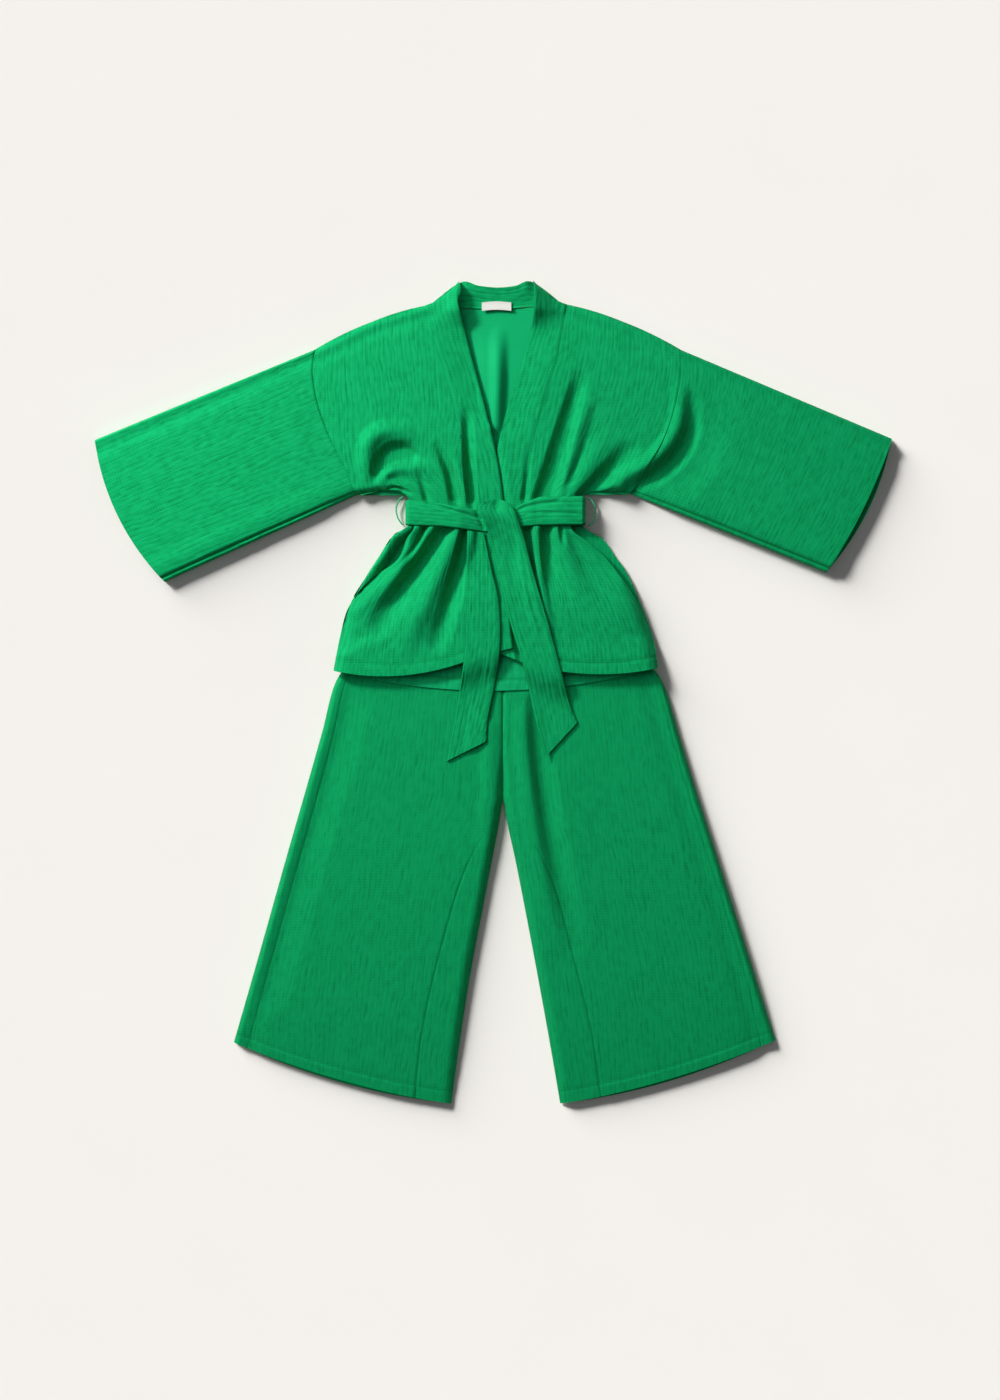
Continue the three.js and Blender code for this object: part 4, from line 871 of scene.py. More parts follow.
def neck_back():
    """The neckband behind the neck, which stands up between the shoulders."""
    def under(x, y):
        between = smoothstep(x, -0.066, -0.046) * (1 - smoothstep(x, 0.056, 0.076))
        over_seam = 0.0019 * (1 - smoothstep(y, 0.689, 0.696)) * between
        return 0.0002 + 0.007 * smoothstep(y, 0.694, 0.734) * between + over_seam

    last = len(BAND_BACK["top_x"]) - 1
    row = row_at(BAND_BACK, np.linspace(0, last, 90)[:, None])
    f = np.linspace(0, 1, 26)[None, :]
    x = lerp(row["low_x"], row["top_x"], f)
    y = lerp(row["low_y"] - 0.0022, row["top_y"], f)
    u, v = np.broadcast_arrays(f * 0.040, x)
    relief = crinkle(u, v, 11)
    return layer("neckband_behind", x, y, under, BAND, relief, flat(u, v), height=BELT_RIB)


def neck_label():
    """A bare woven label, sewn along its top, with its foot off the cloth."""
    left, right, top, foot, lift = LABEL_BOX.values()
    y = np.linspace(top, foot, 17)[:, None]
    x = np.linspace(left, right, 41)[None, :]
    x, y = np.broadcast_arrays(x, y)
    curved = y + 0.002 * np.cos(((x - left) / (right - left) - 0.5) * math.pi)
    low = 0.0046 + lift * (1 - smoothstep(curved, foot, top))
    relief = np.full(x.shape, PLAIN)
    return shell("label", points(x, curved, low + LABEL), points(x, curved, low), flat(x, y), relief)


# Tubes of cloth: sleeves, legs and waistband

def sleeve_height(from_top, from_low, s):
    """The height of a sleeve's upper layer, with a dip along its top and a ledge at its underarm."""
    height = lerp(ARMHOLE_HEIGHT, SLEEVE_HEIGHT, smoothstep(s, 0, 1))
    narrowed = smoothstep(s, 0, 0.25)
    ledge = 0.72 * crown(from_low, 0.004) + 0.28 * smoothstep(from_low, 0.0075, 0.0140)
    low_rise = lerp(crown(from_low, SIDE_REACH), ledge, narrowed)
    top_rise = crown(from_top, lerp(0.010, SLEEVE_REACH, narrowed))
    along_top = -TOP_DIP * bell(from_top - TOP_DIP_IN, TOP_DIP_WIDTH)
    along_low = LOW_RISE * bell(from_low - LOW_RISE_IN, LOW_RISE_WIDTH) * smoothstep(s, 0.02, 0.2)
    return EDGE + (height - EDGE) * np.minimum(top_rise, low_rise) + along_top + along_low


def sleeve(name, side, cuff, outward, along_rows, rib_height, seed):
    """A flattened tube from the armhole to the cuff, open at both ends."""
    step = 0.0044 if along_rows else 0.0023
    even = np.linspace(0.014, 1, int(SLEEVE_LENGTH / step))
    s = np.concatenate([(0, 0.0025, 0.005, 0.009), even])[:, None]
    middle = np.linspace(0.05, 0.95, 112 if along_rows else 64)[1:-1]
    f_top = np.concatenate([np.linspace(0, 0.05, 11), middle, np.linspace(0.95, 1, 11)])
    f_low = np.linspace(1, 0, 48)[1:-1]
    head = row_at(side, 0)
    foot = row_at(side, UNDERARM_ROW)
    top_x, top_y = lerp(head["side_x"], cuff["top"][0], s), lerp(head["side_y"], cuff["top"][1], s)
    low_x, low_y = lerp(foot["side_x"], cuff["under"][0], s), lerp(foot["side_y"], cuff["under"][1], s)
    width = np.hypot(top_x - low_x, top_y - low_y)
    away_x = outward * (top_y - low_y) / width
    away_y = -outward * (top_x - low_x) / width

    def plan(f, bow):
        arm = row_at(side, f * UNDERARM_ROW)
        arm_x = arm["side_x"] - lerp(head["side_x"], foot["side_x"], f)
        arm_y = arm["side_y"] - lerp(head["side_y"], foot["side_y"], f)
        cuff_bow = bow * 4 * f * (1 - f) * s**3
        x = lerp(top_x, low_x, f) + arm_x * (1 - s) ** 2 + away_x * cuff_bow
        y = lerp(top_y, low_y, f) + arm_y * (1 - s) ** 2 + away_y * cuff_bow
        return x, y

    f = f_top[None, :]
    x, y = plan(f, cuff["bow_top"])
    folded = folds_at(JACKET_FOLDS, x, y) * crown(np.minimum(f, 1 - f) * width, SIDE_REACH / 2)
    z = sleeve_height(f * width, (1 - f) * width, s) + folded
    across, along = np.broadcast_arrays(f * width, s * SLEEVE_LENGTH)
    u, v = (across, along) if along_rows else (along, across)
    edge_fade = crown(np.minimum(f, 1 - f) * width, 0.006)
    relief = crinkle(u, v, seed)
    armhole = bell(s * SLEEVE_LENGTH, SEAM_WIDTH) * lerp(1, 0.35, smoothstep(f, 0.4, 0.75))
    armhole = armhole * (1 if outward < 0 else 0.5)
    seam = np.maximum(bell((1 - f) * width - UNDERARM_SEAM_IN, SEAM_WIDTH), armhole)
    # The seams press the relief down: a real dip, and a darker colour there that is painted shade.
    relief = relief * (1 - PRESSED_AND_SHADED * seam)
    outer_z = z + rib_height * (relief - PLAIN) * edge_fade - SEAM_DEPTH * seam * edge_fade
    inset = CLOTH / width
    fi = np.clip(f, inset, 1 - inset)
    ix, iy = plan(fi, cuff["bow_top"])
    on_edge = (f == 0) | (f == 1)
    slope = np.gradient(z, axis=1) / np.gradient(f * width, axis=1)
    wall = CLOTH * np.minimum(np.hypot(1, slope), STEEPEST)
    inner_z = np.where(on_edge, EDGE, np.maximum(z - wall, CLOTH + 0.0004))
    g = f_low[None, :]
    lx, ly = plan(g, cuff["bow_under"])
    zeros = np.zeros(lx.shape)
    outer = np.concatenate([points(x, y, outer_z), points(lx, ly, zeros)], axis=1)
    inner = np.concatenate([points(ix, iy, inner_z), points(lx, ly, zeros + CLOTH)], axis=1)
    low_across, low_along = np.broadcast_arrays(-g * width, s * SLEEVE_LENGTH)
    low_lay = (low_across, low_along) if along_rows else (low_along, low_across)
    lay = np.concatenate([flat(u, v), flat(*low_lay)], axis=1)
    relief = np.concatenate([relief, zeros + PLAIN], axis=1)
    return shell(name, outer, inner, lay, relief, tube=True)


class Leg:
    """A leg with its half of the seat, as a flattened tube between its outer and inner edges."""

    def __init__(self, rows, side):
        self.rows = rows
        self.side = side
        self.start = LEG_ROWS - LEG_TURN / LEG_ROW
        self.place = np.concatenate([
            np.linspace(0, CROTCH_ROW, 52),
            np.linspace(CROTCH_ROW + 0.1, self.start - 0.02, 92),
            np.linspace(self.start, LEG_ROWS, 8),
        ])[:, None]
        row = row_at(rows, self.place)
        low, high = (-math.inf, CENTRE_X) if side == "left" else (CENTRE_X, math.inf)
        self.row = row
        self.seat = self.place <= CROTCH_ROW
        self.inner_x = np.where(self.seat, CENTRE_X, np.clip(row["inner_x"], low, high))
        self.width = np.hypot(self.inner_x - row["outer_x"], row["inner_y"] - row["outer_y"])
        near_crotch = smoothstep(self.place, CROTCH_ROW - 1, CROTCH_ROW)
        self.crease = lerp(CENTRE_CREASE, row["height"] - EDGE - CLOTH - 0.001, near_crotch)
        self.side_seam = row["out_wrap"] / self.width
        wrapped = smoothstep(self.place, CROTCH_ROW, CROTCH_ROW + 0.6)
        self.inseam = 1 - row["in_wrap"] * wrapped / self.width

    def plan(self, f, sag):
        """Points across the leg, with the last rows bowed towards the hem."""
        bow = sag * 4 * f * (1 - f) * smoothstep(self.place, LEG_ROWS - 2, LEG_ROWS)
        x = lerp(self.row["outer_x"], self.inner_x, f)
        return x, lerp(self.row["outer_y"], self.row["inner_y"], f) - bow

    def top(self, f):
        """The height of the upper side, without its crinkle."""
        x, y = self.plan(f, 0)
        height = self.row["height"] - EDGE
        outer_rise = crown(f * self.width, LEG_REACH / 2)
        below = smoothstep(self.place, CROTCH_ROW - 1, CROTCH_ROW + 0.2)
        inner_reach = lerp(CREASE_REACH, LEG_REACH, below)
        inner_rise = crown((1 - f) * self.width, inner_reach)
        dip = LEG_DIP * bell(f * self.width - LEG_DIP_IN, LEG_DIP_WIDTH)
        drop = np.where(self.seat, self.crease, height) * (1 - inner_rise)
        folded = folds_at([FOLDS_LEGS], x, y) * outer_rise * inner_rise
        return EDGE + height * outer_rise - drop + folded - dip

    def relief(self, f, seed, height):
        """The crinkle on the upper side, and its ribs' places on the flat cloth."""
        x, y = self.plan(f, HEM_SAG_FRONT)
        inward = 1 if self.side == "left" else -1
        u, v = lerp(x, inward * f * 0.33 + self.row["outer_x"][0], 0.55), y
        ribs = crinkle(u, v, seed)
        groove = bell(self.place - (self.start - 0.03), STITCH_WIDTH_LEG)
        seams = bell((f - self.side_seam) * self.width, SEAM_WIDTH) * 0.6
        below = smoothstep(self.place, CROTCH_ROW + 0.3, CROTCH_ROW + 1.2)
        seams = np.maximum(seams, bell((f - self.inseam) * self.width, SEAM_WIDTH) * below)
        # The stitch line and seams press the crinkle down: a real dip, and a darker colour there that is
        # painted shade.
        ribs = ribs * (1 - PRESSED_AND_SHADED * groove) * (1 - PRESSED_AND_SHADED * seams)
        turned = smoothstep(self.place, self.start - 0.03, self.start + 0.01)
        fade = crown(f * self.width, 0.006) * np.where(self.seat, 1, crown((1 - f) * self.width, 0.006))
        rise = (height * (ribs - PLAIN) - STITCH_LEG * groove - SEAM_DEPTH * seams) * fade
        return rise, turned, ribs, flat(u, v)

    def upper(self, f, seed, height, turned_rise=0):
        """Outer and inner points of the top, for fractions across it, with its crinkle."""
        ahead, behind = np.minimum(f + 0.01, 1), np.maximum(f - 0.01, 0)
        slope = (self.top(ahead) - self.top(behind)) / ((ahead - behind) * self.width)
        wall = CLOTH * np.minimum(np.hypot(1, slope), STEEPEST)
        top = self.top(f)
        on_edge = (f <= 0) | ((f >= 1) & ~self.seat)
        inner_z = np.where(on_edge, EDGE, np.maximum(top - wall, CLOTH + 0.0005))
        inset = np.clip(f, CLOTH / self.width, np.where(self.seat, 1, 1 - CLOTH / self.width))
        x, y = self.plan(f, HEM_SAG_FRONT)
        ix, iy = self.plan(inset, HEM_SAG_FRONT)
        rise, turned, ribs, lay = self.relief(f, seed, height)
        outer = points(x, y, top + rise + turned_rise * turned)
        return outer, points(ix, iy, inner_z), lay, ribs

    def lower(self, f):
        """The flat layer on the floor, as upper gives the top."""
        x, y = self.plan(f, HEM_SAG_BACK)
        return points(x, y, 0), points(x, y, CLOTH), flat(-x, y), np.full(x.shape, PLAIN)


def leg_front(leg, seed, height):
    """The front panel, from the side seam to the inseam."""
    f = np.linspace(0, 1, 136)[None, :]
    across = lerp(leg.side_seam, leg.inseam, f)
    outer, inner, lay, relief = leg.upper(across, seed, height, TURN_RISE)
    return shell("leg_front_" + leg.side, outer, inner, lay, relief)


def leg_back(leg, seed, height):
    """The back panel beneath, which comes round the edges to meet the front panel."""
    over_side = leg.side_seam * np.linspace(1, 0, 13)[None, :]
    beneath = np.linspace(0.03, 0.92, 40)[None, :] + 0 * leg.place
    round_inner = 1 - (1 - leg.inseam) * np.linspace(0, 1, 32)[None, :]
    flat_end = np.linspace(0.94, 1, 32)[None, :] + 0 * leg.place
    wrapped = leg.upper(round_inner, seed, height)
    level = leg.lower(flat_end)
    seat = leg.seat[..., None]
    ends = [np.where(seat, level[k], wrapped[k]) for k in range(3)]
    ends.append(np.where(leg.seat, level[3], wrapped[3]))
    parts = [leg.upper(over_side, seed, height), leg.lower(beneath), ends]
    outer, inner, lay, relief = (np.concatenate([part[k] for part in parts], axis=1) for k in range(4))
    return shell("leg_back_" + leg.side, outer, inner, lay, relief)


def waistband():
    """A gathered tube, hidden under the jacket."""
    y = np.linspace(WAISTBAND_TOP, WAISTBAND_FOOT, 13)[:, None]
    width = WAIST_RIGHT_X - WAIST_LEFT_X
    f = np.linspace(0, 1, 121)[None, :]
    g = np.linspace(1, 0, 61)[None, 1:-1]
    inset = CLOTH / width
    top = EDGE + (LEG_LEFT["height"][0] - EDGE) * crown(np.minimum(f, 1 - f) * width, SIDE_REACH)
    gathers = 0.0009 * np.sin(f * width / 0.0042) * crown(np.minimum(f, 1 - f) * width, 0.02)
    x = WAIST_LEFT_X + f * width
    low_x = WAIST_LEFT_X + g * width
    inner_x = WAIST_LEFT_X + np.clip(f, inset, 1 - inset) * width
    inner_top = np.where((f == 0) | (f == 1), EDGE, top - CLOTH)
    outer = np.concatenate([points(x, y, top + gathers - 0.0009), points(low_x, y, 0)], axis=1)
    inner = np.concatenate([points(inner_x, y, inner_top - 0.0012), points(low_x, y, CLOTH)], axis=1)
    lay = np.concatenate([flat(x, y), flat(-low_x, y)], axis=1)
    relief = np.full(outer.shape[:2], PLAIN)
    return shell("waistband", outer, inner, lay, relief, tube=True)


# The belt

def belt_waist():
    """Over the fronts, round both sides, and back beneath the jacket."""
    f = np.linspace(0, 1, 27)[:, None]
    front_x = np.linspace(BELT_FRONT["x"][0], BELT_FRONT["x"][-1], 130)[None, :]
    back_x = front_x[:, ::-4]
    bulge = 0.0012 * (1 - (2 * f - 1) ** 2)
    low, high = belt_edge(front_x, "low_y"), belt_edge(front_x, "top_y")
    front_y = lerp(low, high, f)
    relief = crinkle(f * BELT_CUT + 0 * front_x, front_x + 0 * f, 21, BELT_WAVER)
    rounded = crown(np.minimum(f, 1 - f) * BELT_WIDTH, BELT_ROUND)
    z = belt_under(front_x) + BELT + bulge - 0.0016 * (1 - rounded)
    z = z + belt_creases(front_x, front_y) + BELT_RIB * (relief - PLAIN) * rounded
    back_y = lerp(WAIST_Y - BELT_HALF, WAIST_Y + BELT_HALF, f)
    end_z, start_z = belt_under(BELT_FRONT["x"][-1]), belt_under(BELT_FRONT["x"][0])
    right_y, left_y = lerp(0.304, 0.347, f), lerp(0.303, 0.341, f)

    def ring(front_z, inset, side_z, back_z):
        right, left = np.full((1, 1), BELT_RIGHT_X - inset), np.full((1, 1), BELT_LEFT_X + inset)
        return np.concatenate([
            points(front_x, front_y, front_z),
            points(right, right_y, end_z * 0.75),
            points(right, back_y, side_z),
            points(back_x, back_y, back_z),
            points(left, back_y, side_z),
            points(left, left_y, start_z * 0.75),
        ], axis=1)

    outer = ring(z, 0, 0.0016, 0)
    inner = ring(belt_under(front_x), BELT * 0.8, 0.0024, 0.0024)
    lay = flat(f * BELT_CUT, np.arange(outer.shape[1])[None, :] * 0.0025)
    rest = outer.shape[1] - front_x.shape[1]
    relief = np.concatenate([relief, np.full((len(f), rest), PLAIN)], axis=1)
    return shell("belt_round", outer, inner, lay, relief, tube=True)


def belt_creases(x, y):
    """The folded edge on the left of the knot, the hollow and lip of the loose fold on its right, and
    the edge of the strip that wraps over it."""
    x, y = np.broadcast_arrays(x, y)
    return -sum(crease["depth"] * bell(nearest(crease["line"], x, y)[0], crease["width"])
                for crease in BELT_CREASES)


def smooth_rows(height, rounds):
    """Evens out a grid of heights from row to row, so that stiff cloth takes steps gently."""
    for _ in range(rounds):
        padded = np.vstack([height[:1], height, height[-1:]])
        height = (padded[:-2] + 2 * padded[1:-1] + padded[2:]) / 4
    return height


def tail(name, rows, over_belt, bow, seed):
    """A hanging end of the belt, with stitched edges. The one over the belt also wraps the knot."""
    edges = edge_pair(rows, "left", "right")
    place = lengthwise(edges, 0, len(rows["left_x"]) - 1, TAIL_STEP)[:, None]
    f = np.linspace(0, 1, 31)[None, :]
    (ax, ay), (bx, by) = edges(place)
    x = lerp(ax, bx, f)
    y = lerp(ay, by, f) + bow * 4 * f * (1 - f) * np.maximum(0, 1 - place)
    width = np.hypot(bx - ax, by - ay)
    u, v = np.broadcast_arrays(f * width, y)
    edge = np.minimum(f, 1 - f) * width
    rounded = crown(edge, BELT_ROUND)
    stitches = bell(edge - BELT_STITCH_IN, 0.0011)
    # Along the stitch lines and rounded edges the relief falls: a real dip, and a darker colour there
    # that is painted shade.
    relief = crinkle(u, v, seed, BELT_WAVER) * (1 - 0.5 * stitches) * rounded
    low = smooth_rows(tail_under(x, y, over_belt), 44)
    extra = -0.0015 * (1 - rounded) - 0.0004 * stitches
    if over_belt:
        low = low + WRAP_RISE * bell(y - 0.318, 0.026)
        extra = extra - WRAP_DIMPLE * bell(x - 0.006, 0.006) * bell(y - 0.333, 0.008)
    high = low + BELT + extra + BELT_RIB * (relief - PLAIN)
    return shell(name, points(x, y, high), points(x, y, low), flat(u, v), relief)


def thread_loop(name, line):
    """A short chain of thread: a thin tube that swells at each link."""
    knots = table("x y", *line)
    place = np.linspace(0, len(line) - 1, 97)
    row = row_at(knots, place)
    z = 0.007 - 0.002 * np.abs(place / (len(line) - 1) * 2 - 1) ** 4
    centre = points(row["x"], row["y"], z)
    tangent = np.gradient(centre, axis=0)
    tangent /= np.linalg.norm(tangent, axis=1)[:, None]
    side = np.cross(tangent, (0, 0, 1))
    angle = np.linspace(0, 2 * math.pi, 13)[None, :-1]
    link = THREAD / 2 * (0.82 + 0.18 * np.abs(np.sin(place * 9)))[:, None]
    offset = side[:, None, :] * np.cos(angle)[..., None] + np.array([0, 0, 1]) * np.sin(angle)[..., None]
    outer = centre[:, None, :] + offset * link[..., None]
    inner = centre[:, None, :] + offset * link[..., None] * 0.3
    # The relief follows each link's swell, so the thicker links take the lighter crest colour, a painted
    # highlight.
    relief = np.array(np.broadcast_to(link / (THREAD / 2), outer.shape[:2]))
    return shell(name, outer, inner, flat(angle * THREAD, place[:, None] * 0.013), relief, tube=True)


# Materials

class Look:
    """A material and short calls that make its nodes."""

    def __init__(self, name):
        self.material = bpy.data.materials.new(name)
        self.material.use_nodes = True
        self.tree = self.material.node_tree
        self.shader = self.tree.nodes["Principled BSDF"]

    def join(self, socket, value):
        """Gives an input a number, a colour or another node's output."""
        if isinstance(value, bpy.types.NodeSocket):
            self.tree.links.new(value, socket)
        else:
            socket.default_value = value

    def put(self, node, **values):
        for name, value in values.items():
            self.join(node.inputs[name.replace("_", " ")], value)
        return node

    def add(self, kind, **values):
        return self.put(self.tree.nodes.new("ShaderNode" + kind), **values)

    def noise(self, scale, detail, place):
        return self.add("TexNoise", Scale=scale, Detail=detail, Vector=place).outputs["Fac"]

    def span(self, value, low, high, to_low, to_high):
        """A value's place between low and high, moved to the same place between two others."""
        node = self.add("MapRange", Value=value, From_Min=low, From_Max=high)
        return self.put(node, To_Min=to_low, To_Max=to_high).outputs["Result"]

    def math(self, operation, a, b):
        node = self.add("Math")
        node.operation = operation
        self.join(node.inputs[0], a)
        self.join(node.inputs[1], b)
        return node.outputs[0]

    def weave(self, lay, spacing):
        """Warp and weft threads on the flat cloth's own coordinates."""
        threads = []
        for direction in ("X", "Y"):
            wave = self.add("TexWave", Scale=0.314 / spacing, Distortion=1.2, Detail=1, Vector=lay)
            wave.bands_direction = direction
            threads.append(wave.outputs["Fac"])
        return self.math("MAXIMUM", *threads)

    def painted_shade_tones(self, level, colours):
        """Colours from a groove to a crest: the darker groove colour is painted shade, the lighter crest
        colour a painted highlight.
        """
        ramp = self.add("ValToRGB", Fac=level)
        elements = ramp.color_ramp.elements
        groove, cloth, crest = ((*colour, 1) for colour in colours)
        elements[0].position, elements[0].color = 0.08, groove
        elements[1].position, elements[1].color = 0.95, crest
        elements.new(0.5).color = cloth
        return ramp.outputs["Color"]


def gauze(name, colours, roughness=0.82, spacing=0.0011):
    """Crinkled cotton gauze: darker in its grooves as painted shade and lighter on its crests as a
    painted highlight, with a soft weave and a light nap.
    """
    look = Look(name)
    relief = look.add("Attribute")
    relief.attribute_name = "relief"
    uv_map = look.add("UVMap")
    uv_map.uv_map = "lay"
    lay = uv_map.outputs["UV"]
    threads = look.weave(lay, spacing)
    mottle = look.noise(26, 3, look.add("TexCoord").outputs["Object"])
    # The rib relief picks the colour: painted shade in the grooves and a painted highlight on the crests.
    level = look.math("ADD", relief.outputs["Fac"], look.span(mottle, 0.3, 0.7, -0.05, 0.05))
    level = look.math("ADD", level, look.span(look.weave(lay, GRID), 0.3, 0.95, -0.22, 0.10))
    fuzz = look.noise(420, 4, lay)
    height = look.math("ADD", look.math("MULTIPLY", threads, 0.35), fuzz)
    bump = look.add("Bump", Strength=0.55, Distance=0.0006, Height=height)
    look.put(
        look.shader,
        Base_Color=look.painted_shade_tones(level, colours),
        Normal=bump.outputs["Normal"],
        Roughness=look.span(fuzz, 0.3, 0.7, roughness - 0.06, roughness + 0.08),
        Specular_IOR_Level=0.05,
        Sheen_Weight=0.02,
        Sheen_Roughness=0.5,
    )
    return look.material


def floor_paper():
    look = Look("floor_paper")
    grain = look.add("TexNoise", Scale=300)
    mix = look.tree.nodes.new("ShaderNodeMix")
    mix.data_type = "RGBA"
    look.put(mix, Factor=grain.outputs["Fac"], A=(*FLOOR_LOW, 1), B=(*FLOOR_HIGH, 1))
    look.put(look.shader, Base_Color=mix.outputs["Result"], Roughness=0.95, Specular_IOR_Level=0.1)
    return look.material


WARM = (1.0, 0.985, 0.965)
SKY = (0.98, 0.99, 1.0)
FLOOR_LOW = (0.86, 0.848, 0.82)
FLOOR_HIGH = (0.875, 0.863, 0.835)
# Colours from groove to cloth to crest. On the ribbed cloth the darker groove colour is painted shade and
# the lighter crest colour a painted highlight.
JACKET_SHADED_TONES = ((0.0004, 0.180, 0.052), (0.0007, 0.275, 0.086), (0.003, 0.320, 0.108))
LABEL_TONES = ((0.49, 0.49, 0.47), (0.54, 0.54, 0.52), (0.58, 0.58, 0.56))
# The back's smooth inside: a lighter green, partly its own face and partly a painted highlight for the
# light on the ridge in the neck opening.
INSIDE_LIGHTENED_TONES = ((0.0006, 0.230, 0.070), (0.001, 0.320, 0.110), (0.004, 0.360, 0.130))
THREAD_SHADED_TONES = ((0.020, 0.240, 0.100), (0.040, 0.320, 0.150), (0.060, 0.360, 0.180))
TROUSER_SHADED_TONES = ((0.0004, 0.190, 0.056), (0.0007, 0.262, 0.082), (0.002, 0.290, 0.094))


# The garment's pieces. A cut listed in a loop is a flat width and length in metres, and an area the
# flat area of a cut that isn't a rectangle

def attach(piece, node, material):
    """A piece takes a material, goes under the body's root, and hides the node it stands in for."""
    piece.data.materials.append(material)
    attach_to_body(piece, "root")
    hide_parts(node)


def dress(piece, node, material):
    attach(piece, node, material)
    return piece


def make_trousers(cloth):
    left, right = Leg(LEG_LEFT, "left"), Leg(LEG_RIGHT, "right")
    front_left = leg_front(left, 31, RIB_FAINT)
    back_left = leg_back(left, 32, RIB_FAINT)
    front_right = leg_front(right, 33, RIB_FAINT * 0.7)
    back_right = leg_back(right, 34, RIB_FAINT * 0.7)
    band = waistband()
    dress(back_left, "trousers_back_left", cloth)
    dress(back_right, "trousers_back_right", cloth)
    dress(front_left, "trousers_front_left", cloth)
    dress(front_right, "trousers_front_right", cloth)
    dress(band, "trousers_waistband", cloth)


def make_jacket(cloth, smooth_inside):
    back = dress(jacket_back(), "jacket_back", smooth_inside)
    right = front_panel("front_right", SIDE_RIGHT, BAND_RIGHT, -1, right_under, HEM_BOW_RIGHT, 0.75, 41)
    left = front_panel("front_left", SIDE_LEFT, BAND_LEFT, 1, left_under, HEM_BOW_LEFT, 0.25, 42)
    dress(right, "jacket_front_right", cloth)
    dress(left, "jacket_front_left", cloth)
    band_right = front_band("band_right", BAND_RIGHT, right_under, 43)
    band_left = front_band("band_left", BAND_LEFT, left_under, 44)
    dress(band_right, "neckband_right", cloth)
    dress(band_left, "neckband_left", cloth)
    dress(neck_back(), "neckband_back", cloth)
    label_satin = gauze("label_satin", LABEL_TONES, 0.5, 0.0004)
    dress(neck_label(), "neck_label", label_satin)
    for name, side, outward, last, rolled, cut in (
        ("pocket_edge_left", SIDE_LEFT, -1, POCKET_FOOT_LEFT, True, (0.045, 0.130)),
        ("pocket_edge_right", SIDE_RIGHT, 1, POCKET_FOOT_RIGHT, False, (0.020, 0.143)),
    ):
        strip = pocket_strip(name + "_cloth", side, outward, last, rolled)
        dress(strip, name, cloth)
    for side, rows, cuff, outward, height, seed, cut, area in (
        ("left", SIDE_LEFT, SLEEVE_LEFT, -1, RIB_HEIGHT, 51, (0.58, 0.43), 0.225),
        ("right", SIDE_RIGHT, SLEEVE_RIGHT, 1, RIB_FAINT, 52, (0.56, 0.43), 0.21),
    ):
        tube = sleeve("sleeve_cloth_" + side, rows, cuff, outward, side == "left", height, seed)
        dress(tube, "sleeve_" + side, cloth)


def make_belt(cloth, thread):
    waist = dress(belt_waist(), "belt_waist", cloth)
    right = tail("tail_right", TAIL_RIGHT, True, WRAP_BOW, 61)
    left = tail("tail_left", TAIL_LEFT, False, 0, 62)
    dress(right, "belt_tail_right", cloth)
    dress(left, "belt_tail_left", cloth)
    for name, line in THREAD_LOOPS.items():
        attach(thread_loop(name + "_chain", line), name, thread)


# The floor, the light and the camera: the floor in metres, the lens in millimetres

FLOOR_REACH = 30
FLOOR_GAP = 0.0004
VIEW_HEIGHT = 2.52
VIEW_MIDDLE = (0.0117, -0.0144)
LENS = 85
SENSOR = 36


def make_floor():
    mesh = bpy.data.meshes.new("floor")
    corners = [(x * FLOOR_REACH, y * FLOOR_REACH, 0) for x, y in ((-1, -1), (1, -1), (1, 1), (-1, 1))]
    mesh.from_pydata(corners, [], [(0, 1, 2, 3)])
    floor = bpy.data.objects.new("floor", mesh)
    floor.location.z = -FLOOR_GAP
    bpy.context.scene.collection.objects.link(floor)
    mesh.materials.append(floor_paper())
    return floor


def shine_on(lamp, name, pieces):
    """Keeps a light's own light to some objects. All of them still cast its shadows."""
    lit = bpy.data.collections.new(name)
    for piece in pieces:
        lit.objects.link(piece)
    lamp.light_linking.receiver_collection = lit


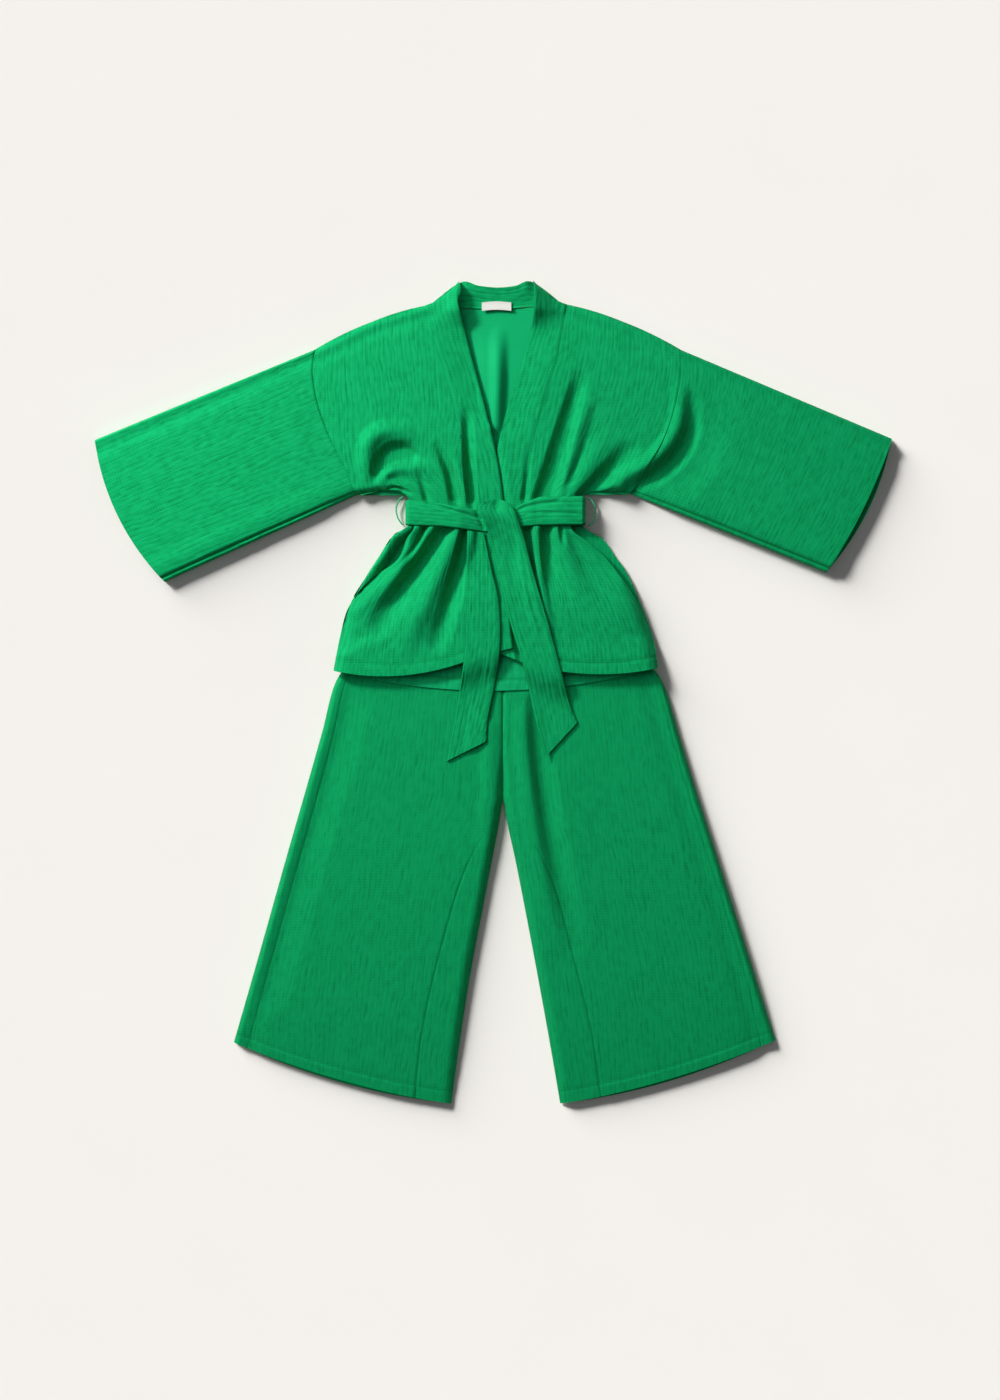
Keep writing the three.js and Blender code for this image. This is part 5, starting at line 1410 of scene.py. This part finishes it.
def make_sun(name, energy, angle, elevation, pieces):
    """A far light from the upper left. Its own angle and its elevation are in degrees."""
    sun = bpy.data.objects.new(name, bpy.data.lights.new(name, "SUN"))
    sun.data.energy = energy
    sun.data.angle = math.radians(angle)
    sun.data.color = WARM
    sun.rotation_euler = (math.radians(90 - elevation), 0, math.radians(135 + 90))
    bpy.context.scene.collection.objects.link(sun)
    shine_on(sun, name + "_lit", pieces)


def make_softbox(energy, size, place, pieces):
    """A near soft light, so that the cloth on its side is brighter."""
    lamp = bpy.data.objects.new("softbox", bpy.data.lights.new("softbox", "AREA"))
    lamp.data.shape = "DISK"
    lamp.data.size = size
    lamp.data.energy = energy
    lamp.data.color = WARM
    lamp.location = place
    x, y, z = place
    lamp.rotation_euler = (math.atan2(math.hypot(x, y), z), 0, math.atan2(y, x) + math.pi / 2)
    bpy.context.scene.collection.objects.link(lamp)
    shine_on(lamp, "softbox_lit", pieces)


def make_light(floor):
    """Low light from the upper left: two suns for the floor, a sun and a softbox for the cloth."""
    cloth = [piece for piece in bpy.context.scene.objects if piece.type == "MESH" and piece != floor]
    make_sun("floor_key", energy=3.1, angle=12, elevation=27, pieces=[floor])
    make_sun("floor_broad", energy=5.9, angle=40, elevation=14, pieces=[floor])
    make_sun("cloth_broad", energy=2.1, angle=60, elevation=45, pieces=cloth)
    make_softbox(energy=62, size=0.45, place=(-1.5, 1.5, 1.3), pieces=cloth)
    world = bpy.data.worlds.new("studio")
    world.use_nodes = True
    background = world.node_tree.nodes["Background"]
    background.inputs["Color"].default_value = (*SKY, 1)
    background.inputs["Strength"].default_value = 0.14
    bpy.context.scene.world = world


def make_camera():
    """Straight down on the middle of the frame."""
    camera = bpy.data.objects.new("camera", bpy.data.cameras.new("camera"))
    camera.data.lens = LENS
    camera.data.sensor_width = SENSOR
    camera.location = (*VIEW_MIDDLE, VIEW_HEIGHT * LENS / SENSOR)
    bpy.context.scene.collection.objects.link(camera)
    bpy.context.scene.camera = camera


bpy.context.scene.view_settings.view_transform = "Standard"
make_camera()
floor = make_floor()
make_trousers(gauze("trouser_gauze", TROUSER_SHADED_TONES))
make_jacket(gauze("jacket_gauze", JACKET_SHADED_TONES), gauze("jacket_gauze_inside", INSIDE_LIGHTENED_TONES, 0.6))
make_belt(gauze("belt_gauze", JACKET_SHADED_TONES), gauze("loop_thread", THREAD_SHADED_TONES))
make_light(floor)
